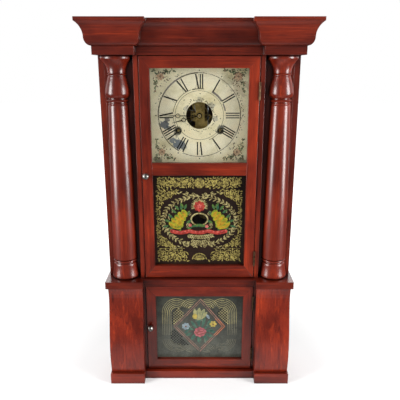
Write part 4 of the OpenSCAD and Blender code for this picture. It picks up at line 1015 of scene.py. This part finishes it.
class LowerTabletOperator(bpy.types.Operator):
    """Paint the lower tablet: ringed lobes, lattice, diamond and bouquet"""
    bl_idname = "clock.paint_lower_tablet"
    bl_label = "Paint lower tablet"

    def execute(self, context):
        front = front_of("lower_glass")
        mid = middle_height("lower_glass") / MM
        low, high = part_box("lower_glass")
        dress(("lower_glass",), painted_glass(
            "lower_ground", "#2e2f28", "#50524a", low[2], high[2]))
        dark, gold, faint, diamond, ember = (Painting(mid) for _ in range(5))
        self.lattice(dark, gold)
        self.lobes(gold, faint)
        for size, width in ((1.0, 1.7), (0.91, 1.3)):
            corners = [(x * size, z * size) for x, z in DIAMOND]
            for a, b in zip(corners, corners[1:] + corners[:1]):
                diamond.stroke([a, b], width)
            near = [(corners[1][0] - 17, corners[1][1] + 20), corners[1],
                    (corners[1][0] - 20, corners[1][1] - 24)]
            ember.stroke(near[:2], width)
            ember.stroke(near[1:], width)
        lay(((dark, "lower_dark_cells", 0, "#0b0a08", "#171611", 0.34, 60),
             (faint, "lower_faint_lines", 0, "#7b7760", "#605d4c", 0.44, 60),
             (gold, "lower_gold_lines", 1, "#a59b69", "#777050", 0.38, 60),
             (diamond, "lower_diamond", 2, "#8f6858", "#685047", 0.40, 70),
             (ember, "lower_diamond_corner", 3, "#a8623f", "#875038", 0.38, 70)),
            front, "lower_door", "painted_glass", True)
        self.bouquet(front, mid)
        return {"FINISHED"}

    def clear_of_diamond(self, x, z, share=1.06):
        return abs(x) / DIAMOND_HALF[0] + abs(z) / DIAMOND_HALF[1] > share

    def run(self, painting, points, width):
        """Draw only those parts of a line that stay clear of the diamond."""
        kept = []
        for point in (*points, None):
            if point and self.clear_of_diamond(*point):
                kept.append(point)
                continue
            if len(kept) > 1:
                painting.stroke(kept, width)
            kept = []

    def ring(self, painting, x, z, radius, start, end, width, squash=1.12):
        turns = [math.radians(start + (end - start) * i / 24) for i in range(25)]
        self.run(painting, [(x + radius * math.cos(a), z + squash * radius * math.sin(a))
                            for a in turns], width)

    def lobes(self, gold, faint):
        x, z = UPPER_LOBE
        for side in (-1, 1):
            for k in range(6):
                outer = 34 - RING_GAP * k
                start, end = (0, 128) if side > 0 else (180, 52)
                self.ring(gold, side * x, z, outer, start, end, 1.0)
                self.run(gold, [(side * (x + outer), z - 6 * i) for i in range(6)], 0.9)
                self.run(faint, [(side * (x + outer), 6 - 6 * i) for i in range(6)], 0.9)
                self.ring(faint, side * x, -z, outer, -start, -end, 0.9, 1.0)
                if k < 5:
                    inner = 25 - RING_GAP * k
                    start, end = (20, 140) if side > 0 else (160, 40)
                    self.ring(gold, side * TOP_LOBE[0], TOP_LOBE[1], inner, start, end, 1.0)
                    self.ring(faint, side * 18, -48, inner, -start, -end, 0.9, 0.95)

    def lattice(self, dark, gold):
        # Dark cells lie between light crossing lines, inside the rings
        step = 7.2
        for i in range(-20, 21):
            for k in range(-16, 18):
                x, z = step / 2 * i, step / 2 * k
                if (i + k) % 2 or not self.clear_of_diamond(x, z, 1.1):
                    continue
                upper = (-2 < z <= 38 and abs(x) < 66) or (
                    z > 38 and min(math.hypot(abs(x) - lobe_x, z - lobe_z)
                                   for lobe_x, lobe_z in (UPPER_LOBE, TOP_LOBE)) < 12)
                lower = math.hypot((x + 42) / 30, (z + 28) / 25) < 1
                if upper or lower:
                    dark.oval(x, z, 2.5, 2.6, 0, 0, 4)
                if upper and z > 4:
                    for lean in (-1, 1):
                        gold.stroke([(x + step / 2 - 1.7, z - 1.7 * lean),
                                     (x + step / 2 + 1.7, z + 1.7 * lean)], 0.8)

    def bouquet(self, front, mid):
        green, dim, cream, yellow, pale, rose, shade = (Painting(mid) for _ in range(7))
        for x, z, long, wide, turn in (
                (0, -2, 30, 9, 100), (-6, -6, 26, 8, 125), (6, -4, 30, 8, 75), (12, -8, 26, 8, 50),
                (-14, -10, 24, 9, 160), (14, -14, 22, 8, 10), (0, -22, 24, 10, 265),
                (-8, -20, 22, 9, 235), (8, -20, 24, 9, 300), (16, -20, 22, 8, 330),
                (-18, -18, 18, 8, 205), (0, 6, 26, 7, 88), (18, 0, 22, 8, 62),
                (-26, -8, 16, 7, 230), (24, -12, 18, 7, 340)):
            green.leaf(x, z, long, wide, turn)
        for x, z, long, wide, turn in ((-10, 10, 22, 7, 60), (8, 12, 20, 7, 110),
                                       (-30, -4, 14, 6, 20), (28, -4, 14, 6, 150),
                                       (4, -34, 16, 6, 255), (12, -32, 16, 6, 285)):
            dim.leaf(x, z, long, wide, turn)
        # A tulip, whose petals part at the top
        for x, z, long, wide, turn in ((-9, 32, 32, 11, 100), (-2, 33, 34, 13, 84),
                                       (6, 32, 32, 12, 68), (11, 29, 24, 9, 52)):
            cream.oval(x, z, long / 2, wide / 2, turn, 0.35, 14)
        for x, z, long, turn in ((-5, 32, 26, 92), (4, 33, 26, 76)):
            dim.leaf(x, z - long / 2, long, 1.6, turn)
        yellow.oval(-11, 27, 6, 7.5, 0, 0.2, 12)
        yellow.bloom(33, 6, 8, 6, 0, 0.5)
        yellow.oval(33, 6, 4.5, segments=10)
        pale.bloom(-33, 0, 9, 7, 0, 0.5)
        pale.oval(-33, 0, 5.5, segments=12)
        pale.leaf(24, 20, 14, 7, 120)
        rose.bloom(1, -16, 14, 8, 0, 0.42)
        rose.oval(2, -16, 15, 9.4, 10, 0, 16)
        for x, z, r, turn in ((-6, -14, 5, 20), (4, -11, 6, 10), (9, -17, 5, 40), (-1, -19, 6, 0)):
            shade.arc(x, z, r, 1.7, 180 + turn, 340 + turn, 0.6)
        for x, z in ((33, 5), (-33, 0)):
            shade.oval(x, z, 2, segments=8)
        lay(((dim, "bouquet_far_leaves", 2, "#3c4a40", "#566455", 0.37, 110),
             (green, "bouquet_leaves", 1, "#2c4a40", "#43614f", 0.37, 110),
             (cream, "bouquet_tulip", 2, "#8f8b60", "#6c6f50", 0.37, 110),
             (yellow, "bouquet_yellow", 3, "#a89347", "#867b3c", 0.37, 110),
             (pale, "bouquet_pale_flower", 3, "#7d8b8f", "#5f6d72", 0.37, 110),
             (rose, "bouquet_rose", 4, "#a0585a", "#753d43", 0.37, 110),
             (shade, "bouquet_shades", 5, "#5e1f28", "#6d4a2c", 0.37, 110)),
            front, "lower_door", "painted_glass", True)


# How far the panes reach under the frames of the doors, and the width of a joint, in millimetres
REBATE = 4.7
JOINT_WIDTH = 0.45


class JointLineOperator(bpy.types.Operator):
    """Draw the thin dark joints of the doors' mitres"""
    bl_idname = "clock.draw_joints"
    bl_label = "Draw joint lines"

    def execute(self, context):
        for body, stiles, panes, name in (
                ("upper_door", "upper_door_stiles", ("dial_glass", "tablet_glass"), "upper"),
                ("lower_door", "lower_door_stiles", ("lower_glass",), "lower")):
            low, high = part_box(stiles)
            glass = [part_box(pane) for pane in panes]
            inner_x = glass[0][1][0] / MM - REBATE
            top = max(g[1][2] for g in glass) / MM - REBATE
            bottom = min(g[0][2] for g in glass) / MM + REBATE
            line = Painting()
            for side in (-1, 1):
                for inner, outer in ((top, high[2]), (bottom, low[2])):
                    line.stroke([(side * inner_x, inner), (side * high[0] / MM, outer / MM)],
                                JOINT_WIDTH)
                if len(glass) == 2:
                    over, under = glass
                    line.stroke([(side * inner_x, over[0][2] / MM + REBATE),
                                 (side * inner_x, under[1][2] / MM - REBATE)], JOINT_WIDTH)
            lay(((line, name + "_door_joints", 0, "#1c0806", "#2a0d09", 0.3, 90,
                  name + "_joint_dark"),), low[1], body, "mahogany")
        return {"FINISHED"}


class StrikeWireOperator(bpy.types.Operator):
    """Bend the wires of the strike that show at the left of the dial's hole"""
    bl_idname = "clock.bend_wires"
    bl_label = "Bend strike wires"

    def execute(self, context):
        mid = middle_height("dial_plate") / MM
        steel = metal_material("wire_steel", "#a9a79f", "#5f5a50", 0.3, 160)
        routes = (
            ("strike_wire_upper", 0.8, ((-14, 29, 24), (-11, 20, 21), (-8.5, 10, 20), (-8, 2, 21),
                                        (-9, -4, 24))),
            ("strike_wire_level", 0.7, ((-34, 10, 23), (-26, 11, 20), (-18, 11, 19.5),
                                        (-11, 10, 20))),
            ("strike_wire_lower", 0.8, ((-10, -6, 22), (-15, -10, 19.5), (-20, -14, 19.5),
                                        (-25, -20, 22), (-27, -26, 24))))
        for name, radius, route in routes:
            data = bpy.data.curves.new(name, "CURVE")
            data.dimensions = "3D"
            data.bevel_depth = radius * MM
            data.bevel_resolution = 3
            data.use_fill_caps = True
            spline = data.splines.new("NURBS")
            spline.points.add(len(route) - 1)
            for point, (x, z, depth) in zip(spline.points, route):
                point.co = (x * MM, (CASE_FRONT + depth) * MM, (mid + z) * MM, 1.0)
            spline.use_endpoint_u = True
            spline.order_u = 3
            data.materials.append(steel)
            piece = bpy.data.objects.new(name, data)
            context.scene.collection.objects.link(piece)
            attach(piece, "case")
        return {"FINISHED"}


class CordOperator(bpy.types.Operator):
    """Hang the weights on cords, each of which rides on its weight"""
    bl_idname = "clock.hang_cords"
    bl_label = "Hang cords"

    def execute(self, context):
        cord = cord_material()
        dress(("cord_runs",), cord)
        for node, body, joint in (("cord_left", "strike_weight", "strike_weight_rise"),
                                  ("cord_right", "time_weight", "time_weight_rise")):
            low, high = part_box(node)
            middle = [(a + b) / 2 for a, b in zip(low, high)]
            length = high[2] - low[2]
            radius = (high[0] - low[0]) / 2
            mesh = bmesh.new()
            bmesh.ops.create_cone(mesh, cap_ends=True, segments=14, radius1=radius,
                                  radius2=radius, depth=length,
                                  matrix=Matrix.Translation(middle))
            piece = make_piece("hanging_" + node, mesh, cord, body)
            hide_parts(node)
            # What is left between pulley and weight when the weight is all the way up
            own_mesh(piece)
        return {"FINISHED"}


class StageOperator(bpy.types.Operator):
    """Set the camera, the lights, the floor and the room"""
    bl_idname = "clock.set_stage"
    bl_label = "Set stage"

    def execute(self, context):
        scene = context.scene
        stage = scene.clock_stage
        camera = bpy.data.objects.new("camera", bpy.data.cameras.new("camera"))
        camera.location = stage.place
        camera.rotation_euler = (stage.tilt, 0, 0)
        camera.data.sensor_width = 36
        camera.data.lens = stage.lens
        scene.collection.objects.link(camera)
        scene.camera = camera
        for name, side in (("left_light", -1), ("right_light", 1)):
            self.light(name, (side * 1.5, -0.75, 0.7), (0.66, 1.25), stage.side_power)
        self.light("back_light", (0.0, 1.9, 1.5), (1.4, 1.0), stage.back_power)
        floor_mesh = bmesh.new()
        bmesh.ops.create_grid(floor_mesh, x_segments=1, y_segments=1, size=9)
        data = bpy.data.meshes.new("floor")
        floor_mesh.to_mesh(data)
        floor_mesh.free()
        data.materials.append(self.floor_paint())
        floor = bpy.data.objects.new("floor", data)
        scene.collection.objects.link(floor)
        scene.world = self.room(stage)
        scene.view_settings.view_transform = "Standard"
        return {"FINISHED"}

    def floor_paint(self):
        """White paper: the eye, a mirror and a pane see it pale with the clock's shadow on it."""
        material, add, coords = new_material("white_paper")
        pale = add("ShaderNodeBsdfDiffuse", {"Color": grey(0.6)})
        away = add("ShaderNodeVectorMath", {0: coords}, output="Value", operation="LENGTH")
        near = add("ShaderNodeMapRange", {
            "Value": away, "From Min": 0.3, "From Max": 1.0, "To Min": 0.28, "To Max": 0.9})
        glow = add("ShaderNodeEmission", {"Color": grey(1.0), "Strength": near})
        lit = add("ShaderNodeAddShader", {0: pale, 1: glow})
        # Mirrors and panes see the paper end a short way off
        paper = add("ShaderNodeMapRange", {
            "Value": away, "From Min": 0.2, "From Max": 0.55, "To Min": 0.6, "To Max": 0.0})
        mirror, seen = self.who_looks(add, paper)
        # Other rays meet a plain grey floor, which for mirrors is the dim room's
        shade = add("ShaderNodeMapRange", {"Value": mirror, "To Min": 0.45, "To Max": 0.07})
        dim = add("ShaderNodeBsdfDiffuse", {"Color": shade})
        surface = add("ShaderNodeMixShader", {0: seen, 1: dim, 2: lit})
        add("ShaderNodeOutputMaterial", {"Surface": surface})
        return material

    def room(self, stage):
        """A white backdrop behind the clock, a dim room before it, and an even fill."""
        world = bpy.data.worlds.new("room")
        world.use_nodes = True
        world.node_tree.nodes.clear()
        add = functools.partial(add_node, world.node_tree)
        towards = add("ShaderNodeSeparateXYZ", {
            "Vector": add("ShaderNodeTexCoord", output="Generated")}, output="Y")
        behind = add("ShaderNodeMapRange", {
            "Value": towards, "From Min": 0.0, "From Max": 0.35, "To Min": 0.0, "To Max": 1.0})
        mirror, seen = self.who_looks(add, behind)
        white = add("ShaderNodeBackground", {"Color": grey(1.0), "Strength": 1.0})
        dimmed = add("ShaderNodeMapRange", {
            "Value": mirror, "To Min": stage.sky, "To Max": 0.1})
        fill = add("ShaderNodeBackground", {"Color": grey(1.0), "Strength": dimmed})
        surface = add("ShaderNodeMixShader", {0: seen, 1: fill, 2: white})
        add("ShaderNodeOutputWorld", {"Surface": surface})
        return world

    def who_looks(self, add, share):
        """Tell mirrors and panes from other rays, and give how much of the white each ray sees.

        The camera sees all of it, and mirrors and panes the given share.
        """
        eye = add("ShaderNodeLightPath", output="Is Camera Ray")
        mirror = add("ShaderNodeMath", {
            0: eye.node.outputs["Is Glossy Ray"], 1: eye.node.outputs["Is Transmission Ray"]},
            operation="MAXIMUM")
        mirrored = add("ShaderNodeMath", {0: mirror, 1: share}, operation="MULTIPLY")
        return mirror, add("ShaderNodeMath", {0: eye, 1: mirrored}, operation="MAXIMUM")

    def light(self, name, place, size, power):
        """A broad lamp that is aimed at the middle of the clock."""
        data = bpy.data.lights.new(name, "AREA")
        data.shape = "RECTANGLE"
        data.size, data.size_y = size
        data.energy = power
        lamp = bpy.data.objects.new(name, data)
        lamp.location = place
        aim = Vector((0, 0, 0.45)) - Vector(place)
        lamp.rotation_euler = aim.to_track_quat("-Z", "Y").to_euler()
        bpy.context.scene.collection.objects.link(lamp)


class ClockPanel(bpy.types.Panel):
    """Settings and steps of the clock's looks"""
    bl_label = "Column shelf clock"
    bl_idname = "VIEW3D_PT_clock"
    bl_space_type = "VIEW_3D"
    bl_region_type = "UI"
    bl_category = "Clock"

    def draw(self, context):
        for settings in (context.scene.clock_wood, context.scene.clock_dial,
                         context.scene.clock_stage):
            box = self.layout.box()
            for name in settings.__annotations__:
                box.prop(settings, name)
        for operator in OPERATORS:
            self.layout.operator(operator.bl_idname)


SETTINGS = {"clock_wood": WoodSettings, "clock_dial": DialSettings, "clock_stage": StageSettings}
OPERATORS = (StageOperator, CaseOperator, ColumnOperator, DialOperator, TabletOperator,
             LowerTabletOperator, JointLineOperator, StrikeWireOperator, CordOperator)


def register():
    for cls in (*SETTINGS.values(), *OPERATORS, ClockPanel):
        bpy.utils.register_class(cls)
    for name, cls in SETTINGS.items():
        setattr(bpy.types.Scene, name, PointerProperty(type=cls))


def unregister():
    for name in SETTINGS:
        delattr(bpy.types.Scene, name)
    for cls in reversed((*SETTINGS.values(), *OPERATORS, ClockPanel)):
        bpy.utils.unregister_class(cls)


def main():
    register()
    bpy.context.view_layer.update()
    bpy.ops.clock.set_stage()
    bpy.ops.clock.finish_case()
    bpy.ops.clock.turn_columns()
    bpy.ops.clock.paint_dial()
    bpy.ops.clock.paint_tablet()
    bpy.ops.clock.paint_lower_tablet()
    bpy.ops.clock.draw_joints()
    bpy.ops.clock.bend_wires()
    bpy.ops.clock.hang_cords()


if __name__ == "__main__":
    main()
